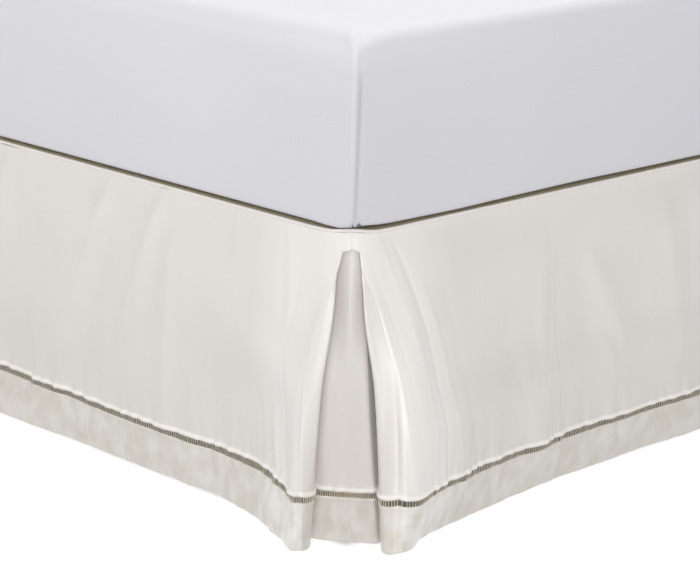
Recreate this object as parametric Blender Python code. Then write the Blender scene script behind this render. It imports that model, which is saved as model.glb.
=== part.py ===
"""A queen size bed skirt on its bed, modelled as it is made.

The skirt is a flat deck with a drop sewn under its rim on three sides: the foot and both long
sides. At each foot corner the drops end in an inverted pleat. Their edges turn back behind
themselves and meet a corner piece that closes the pleat from behind. A band of hemstitching runs
above every hem. The deck lies between a mattress and a plain bed base on legs, and the head end
of the bed is open.

Metres, +Z up. The foot of the bed is towards -Y and the head towards +Y. The origin is on the
floor, under the middle of the whole model.
"""

import math

import bmesh
import bpy
from mathutils import Vector

# Bed, 60 by 80 inches
BED_WIDTH = 1.524
BED_LENGTH = 2.032
CORNER_RADIUS = 0.044
GAP = 0.0003

# Skirt
CLOTH = 0.0014
LAYER = 0.0020
DROP = 0.385
SKIRT_TOP = 0.394
RIM_HEIGHT = 0.0040
RIM_WIDTH = 0.0095
RIM_ROLL = 0.0024
RIM_PROUD = 0.0010
DECK_SHEET = 0.0020
CLOTH_HEIGHT = DROP - RIM_HEIGHT - GAP
CLOTH_TOP = SKIRT_TOP - RIM_HEIGHT - GAP

# Mattress
MATTRESS_THICKNESS = 0.231
MATTRESS_CORNER = 0.046
MATTRESS_BOTTOM_EDGE = 0.010
MATTRESS_TOP_EDGE = 0.032

# Bed base and legs
BASE_INSET = 0.0115
BASE_THICKNESS = 0.190
BASE_EDGE = 0.006
LEG_TOP_RADIUS = 0.032
LEG_FOOT_RADIUS = 0.024
LEG_INSET = 0.110
LEG_SIDES = 14

# Pleat
FOLD_PLACE = 0.006
PLEAT_DEPTH = 0.058
FACE_BASE = {"mid": 0.008, "hem": 0.014}
SIDE_BASE = {"mid": 0.012, "hem": 0.022}

# How the drop stands beside a foot corner, halfway down and at the hem. "cloth" is the distance
# from the pleat's folded edge, negative on the part turned back behind it. "along" runs from
# the corner of the bed along the drop, and "out" is how far the cloth stands off the bed.
PLEAT_COLUMNS = ("cloth", "mid_along", "mid_out", "hem_along", "hem_out")
FOOT_PLEAT = (
    (-0.058, 0.022, 0.020, 0.034, 0.022),
    (-0.040, 0.013, 0.034, 0.021, 0.038),
    (-0.020, 0.006, 0.052, 0.006, 0.058),
    (-0.006, 0.003, 0.065, -0.001, 0.071),
    (0.000, 0.004, 0.069, -0.002, 0.077),
    (0.006, 0.009, 0.070, 0.002, 0.081),
    (0.020, 0.024, 0.067, 0.014, 0.082),
    (0.045, 0.050, 0.058, 0.040, 0.071),
    (0.075, 0.079, 0.046, 0.070, 0.058),
    (0.100, 0.103, 0.037, 0.095, 0.047),
    (0.130, 0.133, 0.027, 0.126, 0.034),
    (0.165, 0.168, 0.018, 0.163, 0.024),
    (0.205, 0.208, 0.012, 0.204, 0.017),
    (0.260, 0.263, 0.009, 0.262, 0.013),
    (0.330, 0.336, 0.008, 0.336, 0.014),
)
SIDE_PLEAT = (
    (-0.058, 0.019, 0.023, 0.025, 0.038),
    (-0.040, 0.009, 0.036, 0.011, 0.049),
    (-0.020, 0.001, 0.052, -0.001, 0.066),
    (-0.006, 0.004, 0.061, 0.003, 0.077),
    (0.000, 0.009, 0.064, 0.009, 0.083),
    (0.006, 0.015, 0.065, 0.015, 0.085),
    (0.020, 0.029, 0.062, 0.029, 0.083),
    (0.045, 0.053, 0.053, 0.052, 0.071),
    (0.075, 0.082, 0.042, 0.080, 0.059),
    (0.100, 0.107, 0.035, 0.105, 0.052),
    (0.140, 0.146, 0.028, 0.145, 0.045),
    (0.180, 0.186, 0.022, 0.185, 0.039),
    (0.230, 0.236, 0.018, 0.236, 0.032),
    (0.280, 0.286, 0.015, 0.286, 0.028),
    (0.350, 0.356, 0.012, 0.356, 0.023),
)

# The corner piece inside the pleat, from the foot's inner fold to the side's. "cloth" is the
# distance from its middle, and the rest is how far it stands off the side and off the foot.
CORNER_COLUMNS = ("cloth", "mid_side", "mid_foot", "hem_side", "hem_foot")
CORNER_PIECE = (
    (-0.064, -0.0230, 0.0180, -0.0350, 0.0198),
    (-0.042, -0.0165, 0.0150, -0.0255, 0.0170),
    (-0.021, -0.0090, 0.0085, -0.0115, 0.0095),
    (0.000, 0.0005, 0.0005, 0.0040, 0.0000),
    (0.021, 0.0100, -0.0075, 0.0190, -0.0100),
    (0.042, 0.0180, -0.0155, 0.0315, -0.0200),
    (0.064, 0.0212, -0.0205, 0.0368, -0.0265),
)

# Soft folds that fall down a drop. "top" and "hem" are the fold's distances from the corner of
# the bed at the two ends of the cloth, "height" is positive for a ridge and negative for a
# trough, and "start" and "end" are shares of the drop between which the fold shows.
FOLD_COLUMNS = ("top", "hem", "width", "height", "start", "end")
FOOT_FOLDS = (
    (0.078, -0.045, 0.018, 0.0030, 0.00, 0.62),
    (0.122, 0.118, 0.014, -0.0080, 0.50, 1.20),
    (0.102, 0.086, 0.014, 0.0040, 0.52, 1.20),
    (0.225, 0.240, 0.030, -0.0040, 0.30, 1.20),
    (0.302, 0.342, 0.026, 0.0050, 0.18, 1.10),
    (0.345, 0.352, 0.024, -0.0035, 0.10, 0.75),
    (0.360, 0.425, 0.026, 0.0045, -0.05, 0.60),
    (0.432, 0.618, 0.030, 0.0060, 0.08, 0.95),
    (0.468, 0.484, 0.028, -0.0045, 0.12, 0.90),
    (0.500, 0.505, 0.032, -0.0030, 0.70, 1.20),
    (0.650, 0.690, 0.030, 0.0055, -0.10, 0.60),
    (0.780, 0.800, 0.060, -0.0040, 0.10, 1.20),
    (0.930, 0.915, 0.065, 0.0045, 0.00, 1.10),
    (1.080, 1.095, 0.060, -0.0040, 0.20, 1.20),
    (1.220, 1.200, 0.050, 0.0045, -0.10, 0.90),
    (1.340, 1.350, 0.030, -0.0035, 0.20, 1.20),
)
SIDE_FOLDS = (
    (0.073, 0.110, 0.014, 0.0030, -0.05, 0.80),
    (0.095, 0.140, 0.016, -0.0035, -0.05, 0.90),
    (0.165, 0.192, 0.026, -0.0045, 0.45, 1.00),
    (0.240, 0.262, 0.024, -0.0045, 0.30, 0.95),
    (0.262, 0.300, 0.024, 0.0045, 0.35, 1.10),
    (0.325, 0.295, 0.024, 0.0045, 0.08, 0.85),
    (0.396, 0.402, 0.028, -0.0055, 0.05, 0.95),
    (0.432, 0.500, 0.026, 0.0070, 0.06, 1.10),
    (0.525, 0.535, 0.032, -0.0030, 0.20, 1.20),
    (0.605, 0.570, 0.028, 0.0060, 0.06, 0.90),
    (0.665, 0.670, 0.034, -0.0055, 0.10, 1.20),
    (0.800, 0.815, 0.065, 0.0045, -0.05, 1.10),
    (0.960, 0.945, 0.060, -0.0040, 0.10, 1.20),
    (1.110, 1.130, 0.065, 0.0045, 0.00, 1.10),
    (1.280, 1.270, 0.065, -0.0040, 0.20, 1.20),
    (1.450, 1.470, 0.070, 0.0045, -0.10, 1.00),
    (1.630, 1.620, 0.065, -0.0035, 0.10, 1.20),
    (1.810, 1.830, 0.070, 0.0045, 0.00, 1.10),
)
FAR_SIDE_SHIFT = 0.035
FAR_SIDE_SHARE = 0.85

# Rows of the cloth: how far down the drop they lie, and at the hem how far above its edge.
# "relief" raises the ridge over the hemstitching and sinks the hemstitching itself.
UPPER_ROWS = (0.0, 0.004, 0.016, 0.044, 0.088, 0.142, 0.200, 0.258)
HEM_COLUMNS = ("above", "relief")
HEM_ROWS = (
    (0.0705, 0.0000),
    (0.0665, 0.0012),
    (0.0632, -0.0010),
    (0.0568, -0.0010),
    (0.0535, 0.0006),
    (0.0000, 0.0002),
)

# Share of the drop over which its seam holds it upright before it swings out, and how much of a
# thread's slant shortens its fall: the weave gives the rest
SEAM_HOLD = 0.03
SLANT_SHARE = 0.65

# Columns of the cloth: places beside a folded edge, places across the part turned back, and
# then the longest step up to each distance from the corner
FOLDED_EDGE_STEPS = (0.0, 0.0009, 0.0018, 0.006, 0.013, 0.022)
RETURN_STEPS = (0.033, 0.045, PLEAT_DEPTH)
STEP_COLUMNS = ("reach", "step")
STEPS = ((0.15, 0.0135), (0.72, 0.028), (math.inf, 0.085))

# Colours: red, green, blue
IVORY = (0.79, 0.76, 0.70)
COOL_WHITE = (0.74, 0.74, 0.79)
OATMEAL = (0.55, 0.53, 0.49)
BEECH = (0.42, 0.27, 0.15)


def material(name, colour, roughness):
    made = bpy.data.materials.new(name)
    made.use_nodes = True
    shader = made.node_tree.nodes["Principled BSDF"]
    shader.inputs["Base Color"].default_value = (*colour, 1.0)
    shader.inputs["Roughness"].default_value = roughness
    shader.inputs["Metallic"].default_value = 0.0
    made.diffuse_color = (*colour, 1.0)
    return made


def add_object(name, mesh, colour, roughness):
    mesh.shade_smooth()
    mesh.set_sharp_from_angle(angle=math.radians(50))
    mesh.materials.append(material(name, colour, roughness))
    made = bpy.data.objects.new(name, mesh)
    bpy.context.scene.collection.objects.link(made)
    return made


def rows_of(table, columns):
    return [dict(zip(columns, row)) for row in table]


def smoothstep(share):
    held = min(max(share, 0.0), 1.0)
    return held * held * (3.0 - 2.0 * held)


def curve_through(places, values, at):
    """Smooth curve through the values at the places, without overshoot at uneven spacing."""
    if at <= places[0]:
        return values[0]
    if at >= places[-1]:
        return values[-1]
    last = next(i for i in range(1, len(places)) if places[i] >= at)

    def slope(i):
        before, after = max(i - 1, 0), min(i + 1, len(places) - 1)
        return (values[after] - values[before]) / (places[after] - places[before])

    start, span = places[last - 1], places[last] - places[last - 1]
    t = (at - start) / span
    return (
        values[last - 1] * (1 + 2 * t) * (1 - t) ** 2
        + slope(last - 1) * span * t * (1 - t) ** 2
        + values[last] * t * t * (3 - 2 * t)
        + slope(last) * span * t * t * (t - 1)
    )


def three_heights(top, mid, hem, share):
    """Value at a share of the drop of the smooth curve through its top, middle and hem."""
    low = share * share * (1 + SEAM_HOLD) / (share + SEAM_HOLD)
    return top * (1 - low) * (1 - 2 * low) + mid * 4 * low * (1 - low) + hem * low * (2 * low - 1)


def rim_point(distance, inset):
    """Place under the deck's rim as (along, out), from the middle of the rounded corner."""
    radius = CORNER_RADIUS
    half_arc = radius * math.pi / 4
    if distance >= half_arc:
        return radius + distance - half_arc, -inset
    turn = (half_arc - distance) / radius
    along = radius - radius * math.sin(turn) + inset * math.sin(turn)
    out = radius * math.cos(turn) - radius - inset * math.cos(turn)
    return along, out


def folded_top(cloth):
    """Top edge of a drop at a distance from its folded edge: the turned back part lies behind."""
    radius = LAYER / 2
    half_turn = radius * math.pi / 2
    if abs(cloth) < half_turn:
        angle = cloth / radius
        distance = FOLD_PLACE + radius - radius * math.cos(angle)
        return rim_point(distance, CLOTH / 2 + radius - radius * math.sin(angle))
    distance = FOLD_PLACE + radius + abs(cloth) - half_turn
    return rim_point(distance, CLOTH / 2 + (LAYER if cloth < 0 else 0.0))


class Pleat:
    """Half of an inverted pleat: where each thread of the drop hangs beside a foot corner."""

    def __init__(self, table, base):
        self.rows = rows_of(table, PLEAT_COLUMNS)
        self.base = base
        self.cloth = [row["cloth"] for row in self.rows]

    def value(self, column, cloth):
        return curve_through(self.cloth, [row[column] for row in self.rows], cloth)

    def point(self, cloth, share):
        top_along, top_out = folded_top(cloth)
        if cloth >= self.cloth[-1]:
            mid = top_along, self.base["mid"]
            hem = top_along, self.base["hem"]
        else:
            mid = self.value("mid_along", cloth), self.value("mid_out", cloth)
            hem = self.value("hem_along", cloth), self.value("hem_out", cloth)
        along = three_heights(top_along, mid[0], hem[0], share)
        out = three_heights(top_out, mid[1], hem[1], share)
        return along, out


def fold_height(folds, cloth, share):
    """How far the soft folds lift the cloth off its line at a place on the drop."""
    height = 0.0
    for fold in folds:
        middle = fold["top"] + (fold["hem"] - fold["top"]) * share
        across = (cloth - middle) / fold["width"]
        shown = smoothstep((share - fold["start"]) / 0.22) * smoothstep((fold["end"] - share) / 0.22)
        height += fold["height"] * shown * math.exp(-across * across)
    return height


def cloth_rows():
    rows = [(down, 0.0) for down in UPPER_ROWS]
    rows += [(CLOTH_HEIGHT - row["above"], row["relief"]) for row in rows_of(HEM_ROWS, HEM_COLUMNS)]
    return rows


def spread(start, end):
    """Places from a folded edge's last step to the end, in steps that grow with the distance."""
    places = []
    place = start
    for row in rows_of(STEPS, STEP_COLUMNS):
        reach = min(row["reach"], end)
        parts = max(1, math.ceil((reach - place) / row["step"]))
        places += [place + (reach - place) * (i + 1) / parts for i in range(parts)]
        place = reach
        if reach == end:
            return places


def drop_columns(length, far_pleat):
    """Places across a drop: close at its folded edges, wider where it hangs plain."""
    edge = [-step for step in reversed(FOLDED_EDGE_STEPS[1:] + RETURN_STEPS)]
    edge += FOLDED_EDGE_STEPS
    if not far_pleat:
        return edge + spread(edge[-1], length)
    far_edge = [length - place for place in reversed(edge)]
    far_face = [length - place for place in reversed(spread(edge[-1], STEPS[0][0] * 2))]
    return edge + spread(edge[-1], far_face[0])[:-1] + far_face + far_edge


def cloth_grid(places, line, lift):
    """Points of a hanging cloth, row by row from its top edge.

    line(place, share) gives (along, out) and lift(place, share) the folds on it. Each column
    keeps its own length down the drop, so cloth that stands out also hangs a little higher.
    """
    nudge = 0.0003
    grid = []
    heights = [CLOTH_TOP] * len(places)
    before = None
    down_before = 0.0
    for down, relief in cloth_rows():
        share = down / CLOTH_HEIGHT
        row = []
        for place in places:
            along, out = line(place, share)
            ahead = line(place + nudge, share)
            behind = line(place - nudge, share)
            run = Vector((ahead[0] - behind[0], ahead[1] - behind[1]))
            run.normalize()
            raised = relief + lift(place, share)
            row.append(Vector((along - run.y * raised, out + run.x * raised)))
        if before:
            for i, point in enumerate(row):
                sideways = (point - before[i]).length * SLANT_SHARE
                step = down - down_before
                heights[i] -= math.sqrt(max(step * step - sideways * sideways, (0.35 * step) ** 2))
        grid.append([(point.x, point.y, height) for point, height in zip(row, heights)])
        before, down_before = row, down
    return grid


def cloth_object(name, grid, to_world):
    """Solid sheet of cloth through a grid of points."""
    shape = bmesh.new()
    rows = [[shape.verts.new(to_world(*point)) for point in row] for row in grid]
    for upper, lower in zip(rows, rows[1:]):
        for i in range(len(upper) - 1):
            shape.faces.new((upper[i], lower[i], lower[i + 1], upper[i + 1]))
    mesh = bpy.data.meshes.new(name)
    shape.to_mesh(mesh)
    shape.free()
    made = add_object(name, mesh, IVORY, 0.55)
    thickness = made.modifiers.new("Cloth", "SOLIDIFY")
    thickness.thickness = CLOTH
    thickness.offset = 0.0
    return made


def side_drop(name, side, folds):
    """Long side's drop. side is +1 for the right of the bed and -1 for the left."""
    pleat = Pleat(SIDE_PLEAT, SIDE_BASE)
    corner_x, corner_y = side * BED_WIDTH / 2, -BED_LENGTH / 2
    length = BED_LENGTH - FOLD_PLACE - CORNER_RADIUS + CORNER_RADIUS * math.pi / 4

    def line(place, share):
        return pleat.point(place, share)

    def lift(place, share):
        return fold_height(folds, place, share) if place > 0 else 0.0

    def to_world(along, out, height):
        return corner_x + side * out, corner_y + along, height

    return cloth_object(name, cloth_grid(drop_columns(length, False), line, lift), to_world)


def foot_drop(name, folds):
    """Foot's drop, with a pleat at both ends. Its cloth is measured from the right corner."""
    pleat = Pleat(FOOT_PLEAT, FACE_BASE)
    corner_x, corner_y = BED_WIDTH / 2, -BED_LENGTH / 2
    length = BED_WIDTH - 2 * (FOLD_PLACE + CORNER_RADIUS - CORNER_RADIUS * math.pi / 4)

    def line(place, share):
        if place <= length / 2:
            return pleat.point(place, share)
        along, out = pleat.point(length - place, share)
        return BED_WIDTH - along, out

    def lift(place, share):
        return fold_height(folds, place, share) if 0 < place < length else 0.0

    def to_world(along, out, height):
        return corner_x - along, corner_y - out, height

    return cloth_object(name, cloth_grid(drop_columns(length, True), line, lift), to_world)


def corner_piece(name, side):
    """Piece that closes a foot corner's pleat from behind."""
    rows = rows_of(CORNER_PIECE, CORNER_COLUMNS)
    cloth = [row["cloth"] for row in rows]
    half = cloth[-1]
    inset = CLOTH / 2 + 2 * LAYER
    steps = 12
    places = [half * (2 * i / steps - 1) for i in range(steps + 1)]

    def value(column, place):
        return curve_through(cloth, [row[column] for row in rows], place)

    def line(place, share):
        along, out = rim_point(abs(place), inset)
        top = (out, -along) if place > 0 else (-along, out)
        off_side = three_heights(top[0], value("mid_side", place), value("hem_side", place), share)
        off_foot = three_heights(top[1], value("mid_foot", place), value("hem_foot", place), share)
        return off_side, off_foot

    def to_world(off_side, off_foot, height):
        return side * (BED_WIDTH / 2 + off_side), -BED_LENGTH / 2 - off_foot, height

    return cloth_object(name, cloth_grid(places, line, lambda place, share: 0.0), to_world)


def rounded_outline(inset, corner_radius, steps=6):
    """Points round the bed's plan, moved in by a distance, anticlockwise from the right side."""
    radius = max(corner_radius - inset, 0.002)
    half_x = BED_WIDTH / 2 - inset - radius
    half_y = BED_LENGTH / 2 - inset - radius
    points = []
    for quarter, (sign_x, sign_y) in enumerate(((1, 1), (-1, 1), (-1, -1), (1, -1))):
        for i in range(steps + 1):
            angle = math.pi / 2 * (quarter + i / steps)
            points.append(
                (sign_x * half_x + radius * math.cos(angle), sign_y * half_y + radius * math.sin(angle))
            )
    return points


def slab(name, corner_radius, profile, colour, roughness):
    """Closed solid of the bed's plan. The profile is (inset, height) rows from its top down."""
    shape = bmesh.new()
    loops = []
    for inset, height in profile:
        outline = rounded_outline(inset, corner_radius)
        loops.append([shape.verts.new((x, y, height)) for x, y in outline])
    shape.faces.new(loops[0])
    shape.faces.new(reversed(loops[-1]))
    for upper, lower in zip(loops, loops[1:]):
        for i in range(len(upper)):
            j = (i + 1) % len(upper)
            shape.faces.new((upper[i], lower[i], lower[j], upper[j]))
    mesh = bpy.data.meshes.new(name)
    shape.to_mesh(mesh)
    shape.free()
    return add_object(name, mesh, colour, roughness)


def edge_rows(radius, height, rising, start_inset=0.0, steps=4):
    """Profile rows of a quarter round edge that ends at a height."""
    rows = []
    for i in range(steps + 1):
        angle = math.pi / 2 * i / steps
        inset = start_inset + radius * (1 - math.sin(angle))
        drop = radius * (1 - math.cos(angle))
        rows.append((inset, height - drop if rising else height + drop))
    return rows


def deck():
    """Flat sheet with a thicker rim, under which the drops are sewn."""
    middle = SKIRT_TOP - RIM_HEIGHT / 2
    sheet_top, sheet_bottom = middle + DECK_SHEET / 2, middle - DECK_SHEET / 2
    profile = [
        (RIM_WIDTH, sheet_top),
        (RIM_ROLL + 0.0022, sheet_top),
        (RIM_ROLL, SKIRT_TOP),
        (0.0002, SKIRT_TOP - 0.0004),
        (-RIM_PROUD, middle + 0.0008),
        (-RIM_PROUD, middle - 0.0008),
        (-0.0002, SKIRT_TOP - RIM_HEIGHT),
        (RIM_WIDTH - 0.0010, SKIRT_TOP - RIM_HEIGHT),
        (RIM_WIDTH, sheet_bottom),
    ]
    return slab("deck", CORNER_RADIUS, profile, IVORY, 0.6)


def mattress():
    bottom = SKIRT_TOP - RIM_HEIGHT / 2 + DECK_SHEET / 2 + GAP
    top = bottom + MATTRESS_THICKNESS
    profile = edge_rows(MATTRESS_TOP_EDGE, top, True, steps=6)
    profile += reversed(edge_rows(MATTRESS_BOTTOM_EDGE, bottom, False, steps=3))
    return slab("mattress", MATTRESS_CORNER, profile, COOL_WHITE, 0.8)


def base_levels():
    top = SKIRT_TOP - RIM_HEIGHT / 2 - DECK_SHEET / 2 - GAP
    return top - BASE_THICKNESS, top


def bed_base():
    bottom, top = base_levels()
    profile = edge_rows(BASE_EDGE, top, True, BASE_INSET, steps=2)
    profile += reversed(edge_rows(BASE_EDGE, bottom, False, BASE_INSET, steps=2))
    return slab("bed_base", CORNER_RADIUS + 0.006, profile, OATMEAL, 0.85)


def leg(name, x, y):
    height = base_levels()[0] - GAP
    shape = bmesh.new()
    bmesh.ops.create_cone(
        shape,
        cap_ends=True,
        segments=LEG_SIDES,
        radius1=LEG_FOOT_RADIUS,
        radius2=LEG_TOP_RADIUS,
        depth=height,
    )
    mesh = bpy.data.meshes.new(name)
    shape.to_mesh(mesh)
    shape.free()
    made = add_object(name, mesh, BEECH, 0.45)
    made.location = (x, y, height / 2)
    return made


def legs():
    side_x = BED_WIDTH / 2 - LEG_INSET
    end_y = BED_LENGTH / 2 - LEG_INSET
    places = (("foot", -end_y), ("middle", 0.0), ("head", end_y))
    return [
        leg(f"leg_{place}_{side}", sign * side_x, y)
        for place, y in places
        for side, sign in (("right", 1), ("left", -1))
    ]


def centre_on_floor(pieces):
    """Moves the whole model sideways until the middle of its box is over the origin."""
    bpy.context.view_layer.update()
    graph = bpy.context.evaluated_depsgraph_get()
    low, high = [math.inf, math.inf], [-math.inf, -math.inf]
    for piece in pieces:
        shown = piece.evaluated_get(graph)
        for vertex in shown.data.vertices:
            place = shown.matrix_world @ vertex.co
            for i in range(2):
                low[i] = min(low[i], place[i])
                high[i] = max(high[i], place[i])
    for piece in pieces:
        piece.location.x -= (low[0] + high[0]) / 2
        piece.location.y -= (low[1] + high[1]) / 2


def main():
    for old in list(bpy.data.objects):
        bpy.data.objects.remove(old, do_unlink=True)
    foot_folds = rows_of(FOOT_FOLDS, FOLD_COLUMNS)
    right_folds = rows_of(SIDE_FOLDS, FOLD_COLUMNS)
    left_folds = [
        {
            **fold,
            "top": fold["top"] + FAR_SIDE_SHIFT,
            "hem": fold["hem"] + FAR_SIDE_SHIFT,
            "height": fold["height"] * FAR_SIDE_SHARE,
        }
        for fold in right_folds
    ]
    pieces = [mattress(), deck(), bed_base(), *legs()]
    pieces.append(foot_drop("drop_foot", foot_folds))
    pieces.append(side_drop("drop_right", 1, right_folds))
    pieces.append(side_drop("drop_left", -1, left_folds))
    pieces.append(corner_piece("pleat_right", 1))
    pieces.append(corner_piece("pleat_left", -1))
    centre_on_floor(pieces)


main()
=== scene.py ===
"""A queen size bed skirt on its bed.

Three drops of cotton sateen hang under the rim of a flat deck, with an inverted pleat at each foot
corner and a band of hemstitching above every hem. The deck lies between a mattress in a fitted
sheet and an upholstered base on six wooden legs.

Metres, +Z up. The foot of the bed is towards -Y.
"""

import math
import random

import bmesh
import bpy
import numpy as np
from mathutils import Matrix, Vector


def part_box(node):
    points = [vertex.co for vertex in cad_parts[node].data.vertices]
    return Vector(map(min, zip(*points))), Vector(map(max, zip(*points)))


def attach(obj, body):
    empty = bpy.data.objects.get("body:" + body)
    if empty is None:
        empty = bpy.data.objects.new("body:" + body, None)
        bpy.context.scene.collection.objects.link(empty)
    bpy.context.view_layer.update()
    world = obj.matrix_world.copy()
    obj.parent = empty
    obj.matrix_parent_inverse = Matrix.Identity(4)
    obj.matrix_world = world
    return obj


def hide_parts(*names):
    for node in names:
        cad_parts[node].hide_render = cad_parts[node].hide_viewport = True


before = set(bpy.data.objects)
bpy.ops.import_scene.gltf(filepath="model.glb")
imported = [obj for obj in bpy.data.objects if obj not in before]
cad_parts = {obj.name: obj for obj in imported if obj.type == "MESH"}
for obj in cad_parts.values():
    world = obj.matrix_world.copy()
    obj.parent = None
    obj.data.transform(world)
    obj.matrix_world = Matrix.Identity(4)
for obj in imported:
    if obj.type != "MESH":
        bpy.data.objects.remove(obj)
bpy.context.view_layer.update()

# Bed, 60 by 80 inches
BED_WIDTH = 1.524
BED_LENGTH = 2.032
CORNER_RADIUS = 0.044
GAP = 0.0003

# Skirt
CLOTH = 0.0014
LAYER = 0.0020
DROP = 0.385
SKIRT_TOP = 0.394
RIM_HEIGHT = 0.0040
RIM_PROUD = 0.0010
DECK_SHEET = 0.0020
CLOTH_HEIGHT = DROP - RIM_HEIGHT - GAP
CLOTH_TOP = SKIRT_TOP - RIM_HEIGHT - GAP

# Mattress in its fitted sheet, with a seam up each corner. The seam's "height" is over the deck
# and its "place" round the mattress from the corner.
SEAM_COLUMNS = ("height", "place")
SEAM_LINE = ((0.000, 0.004), (0.215, 0.0100), (0.242, 0.0100))
SEAM_SLOPE = (SEAM_LINE[1][1] - SEAM_LINE[0][1]) / SEAM_LINE[1][0]
SEAM_START = 0.030
MATTRESS_THICKNESS = 0.242
MATTRESS_CORNER = 0.003
SHEET_UNDER = 0.060
MATTRESS_TOP_CORNER = 0.036

# The top edge is rounder along the foot and head than along the sides
TOP_EDGE = {"foot": 0.032, "side": 0.016, "turns_at": -0.020, "over": 0.060}

# Pleat. Past its reach the cloth stands this far off the bed at each height, and "narrowed" is
# how much of the way its folded edges stay drawn together under the stretch where they meet.
FOLD_PLACE = 0.006
PLEAT_DEPTH = 0.058
FACE_BASE = {"high": 0.009, "mid": 0.013, "hem": 0.014, "narrowed": 0.12}
SIDE_BASE = {"high": 0.010, "mid": 0.017, "hem": 0.018, "narrowed": 0.30}

# The bed stands where its solids do
FOOT_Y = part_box("deck")[0].y + RIM_PROUD
MIDDLE_Y = FOOT_Y + BED_LENGTH / 2

# How the drop stands beside a foot corner, a fifth of the way down, halfway down and at the hem.
# "cloth" is the distance from the pleat's folded edge, negative on the part turned back behind
# it. "along" runs from the corner of the bed along the drop, and "out" is how far the cloth
# stands off the bed.
HEIGHTS = ("high", "mid", "hem")
PLEAT_COLUMNS = ("cloth", "high_along", "high_out", "mid_along", "mid_out", "hem_along", "hem_out")
FOOT_PLEAT = (
    (-0.058, 0.0350, 0.0065, 0.0300, 0.0300, 0.0335, 0.0370),
    (-0.040, 0.0245, 0.0068, 0.0195, 0.0310, 0.0200, 0.0420),
    (-0.024, 0.0175, 0.0095, 0.0105, 0.0365, 0.0075, 0.0540),
    (-0.012, 0.0190, 0.0122, 0.0150, 0.0440, 0.0005, 0.0655),
    (0.000, 0.0230, 0.0150, 0.0240, 0.0515, -0.0030, 0.0780),
    (0.006, 0.0282, 0.0152, 0.0293, 0.0520, 0.0010, 0.0810),
    (0.020, 0.0405, 0.0146, 0.0428, 0.0502, 0.0140, 0.0820),
    (0.045, 0.0635, 0.0135, 0.0665, 0.0440, 0.0400, 0.0680),
    (0.075, 0.0925, 0.0125, 0.0950, 0.0360, 0.0695, 0.0535),
    (0.100, 0.1170, 0.0118, 0.1190, 0.0305, 0.0945, 0.0440),
    (0.130, 0.1465, 0.0110, 0.1480, 0.0255, 0.1260, 0.0340),
    (0.165, 0.1810, 0.0105, 0.1820, 0.0195, 0.1630, 0.0240),
    (0.205, 0.2205, 0.0100, 0.2205, 0.0155, 0.2040, 0.0170),
    (0.260, 0.2745, 0.0095, 0.2730, 0.0135, 0.2620, 0.0130),
    (0.330, 0.3430, 0.0090, 0.3410, 0.0130, 0.3360, 0.0140),
)
SIDE_PLEAT = (
    (-0.058, 0.0330, 0.0052, 0.0330, 0.0175, 0.0270, 0.0360),
    (-0.040, 0.0205, 0.0045, 0.0215, 0.0250, 0.0140, 0.0480),
    (-0.024, 0.0150, 0.0080, 0.0102, 0.0358, -0.0010, 0.0645),
    (-0.012, 0.0185, 0.0102, 0.0175, 0.0442, -0.0045, 0.0770),
    (0.000, 0.0262, 0.0132, 0.0258, 0.0527, 0.0030, 0.0865),
    (0.012, 0.0367, 0.0167, 0.0345, 0.0606, 0.0160, 0.0875),
    (0.024, 0.0483, 0.0192, 0.0442, 0.0668, 0.0290, 0.0835),
    (0.036, 0.0600, 0.0215, 0.0555, 0.0688, 0.0412, 0.0765),
    (0.048, 0.0715, 0.0240, 0.0670, 0.0668, 0.0527, 0.0700),
    (0.060, 0.0835, 0.0240, 0.0785, 0.0625, 0.0640, 0.0645),
    (0.080, 0.1030, 0.0225, 0.0975, 0.0560, 0.0840, 0.0580),
    (0.105, 0.1270, 0.0205, 0.1210, 0.0478, 0.1090, 0.0525),
    (0.140, 0.1610, 0.0180, 0.1545, 0.0385, 0.1450, 0.0460),
    (0.180, 0.1990, 0.0155, 0.1930, 0.0308, 0.1850, 0.0395),
    (0.230, 0.2460, 0.0135, 0.2415, 0.0245, 0.2360, 0.0330),
    (0.280, 0.2930, 0.0120, 0.2895, 0.0205, 0.2860, 0.0265),
    (0.350, 0.3590, 0.0105, 0.3575, 0.0178, 0.3560, 0.0205),
)

# Over the first stretch below the rim the folded edges of a pleat meet at the corner
CLOSED = {"apart": -0.0004, "fade": 0.018, "until": 0.048, "open": 0.072}
NARROWED = {"at": 0.11, "width": 0.050}

# The corner piece inside the pleat, from the foot's inner fold to the side's. "cloth" is the
# distance from its middle, and the rest is how far it stands off the side and off the foot.
CORNER_COLUMNS = ("cloth", "high_side", "high_foot", "mid_side", "mid_foot", "hem_side", "hem_foot")
CORNER_PIECE = (
    (-0.064, -0.0480, 0.0005, -0.0360, 0.0240, -0.0440, 0.0320),
    (-0.042, -0.0340, -0.0005, -0.0195, 0.0195, -0.0270, 0.0240),
    (-0.021, -0.0200, -0.0030, -0.0095, 0.0095, -0.0115, 0.0120),
    (0.000, -0.0080, -0.0080, 0.0000, 0.0000, 0.0040, 0.0000),
    (0.021, -0.0030, -0.0200, 0.0095, -0.0080, 0.0190, -0.0100),
    (0.039, -0.0020, -0.0310, 0.0165, -0.0160, 0.0330, -0.0205),
    (0.046, -0.0030, -0.0360, 0.0140, -0.0220, 0.0320, -0.0255),
    (0.064, -0.0040, -0.0480, 0.0060, -0.0370, 0.0250, -0.0400),
)

CORNER_PIECE_COLUMNS = 79
CORNER_PIECE_CREASES = 0.6
CORNER_PIECE_FLAT = 0.02

# The seams that meet at a foot corner push the rim up a little there. "reach" is how far round
# the corner, and "deep" the share of the drop over which the cloth takes it up.
CORNER_RISE = {"height": 0.0044, "reach": 0.028, "deep": 0.35}

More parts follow.
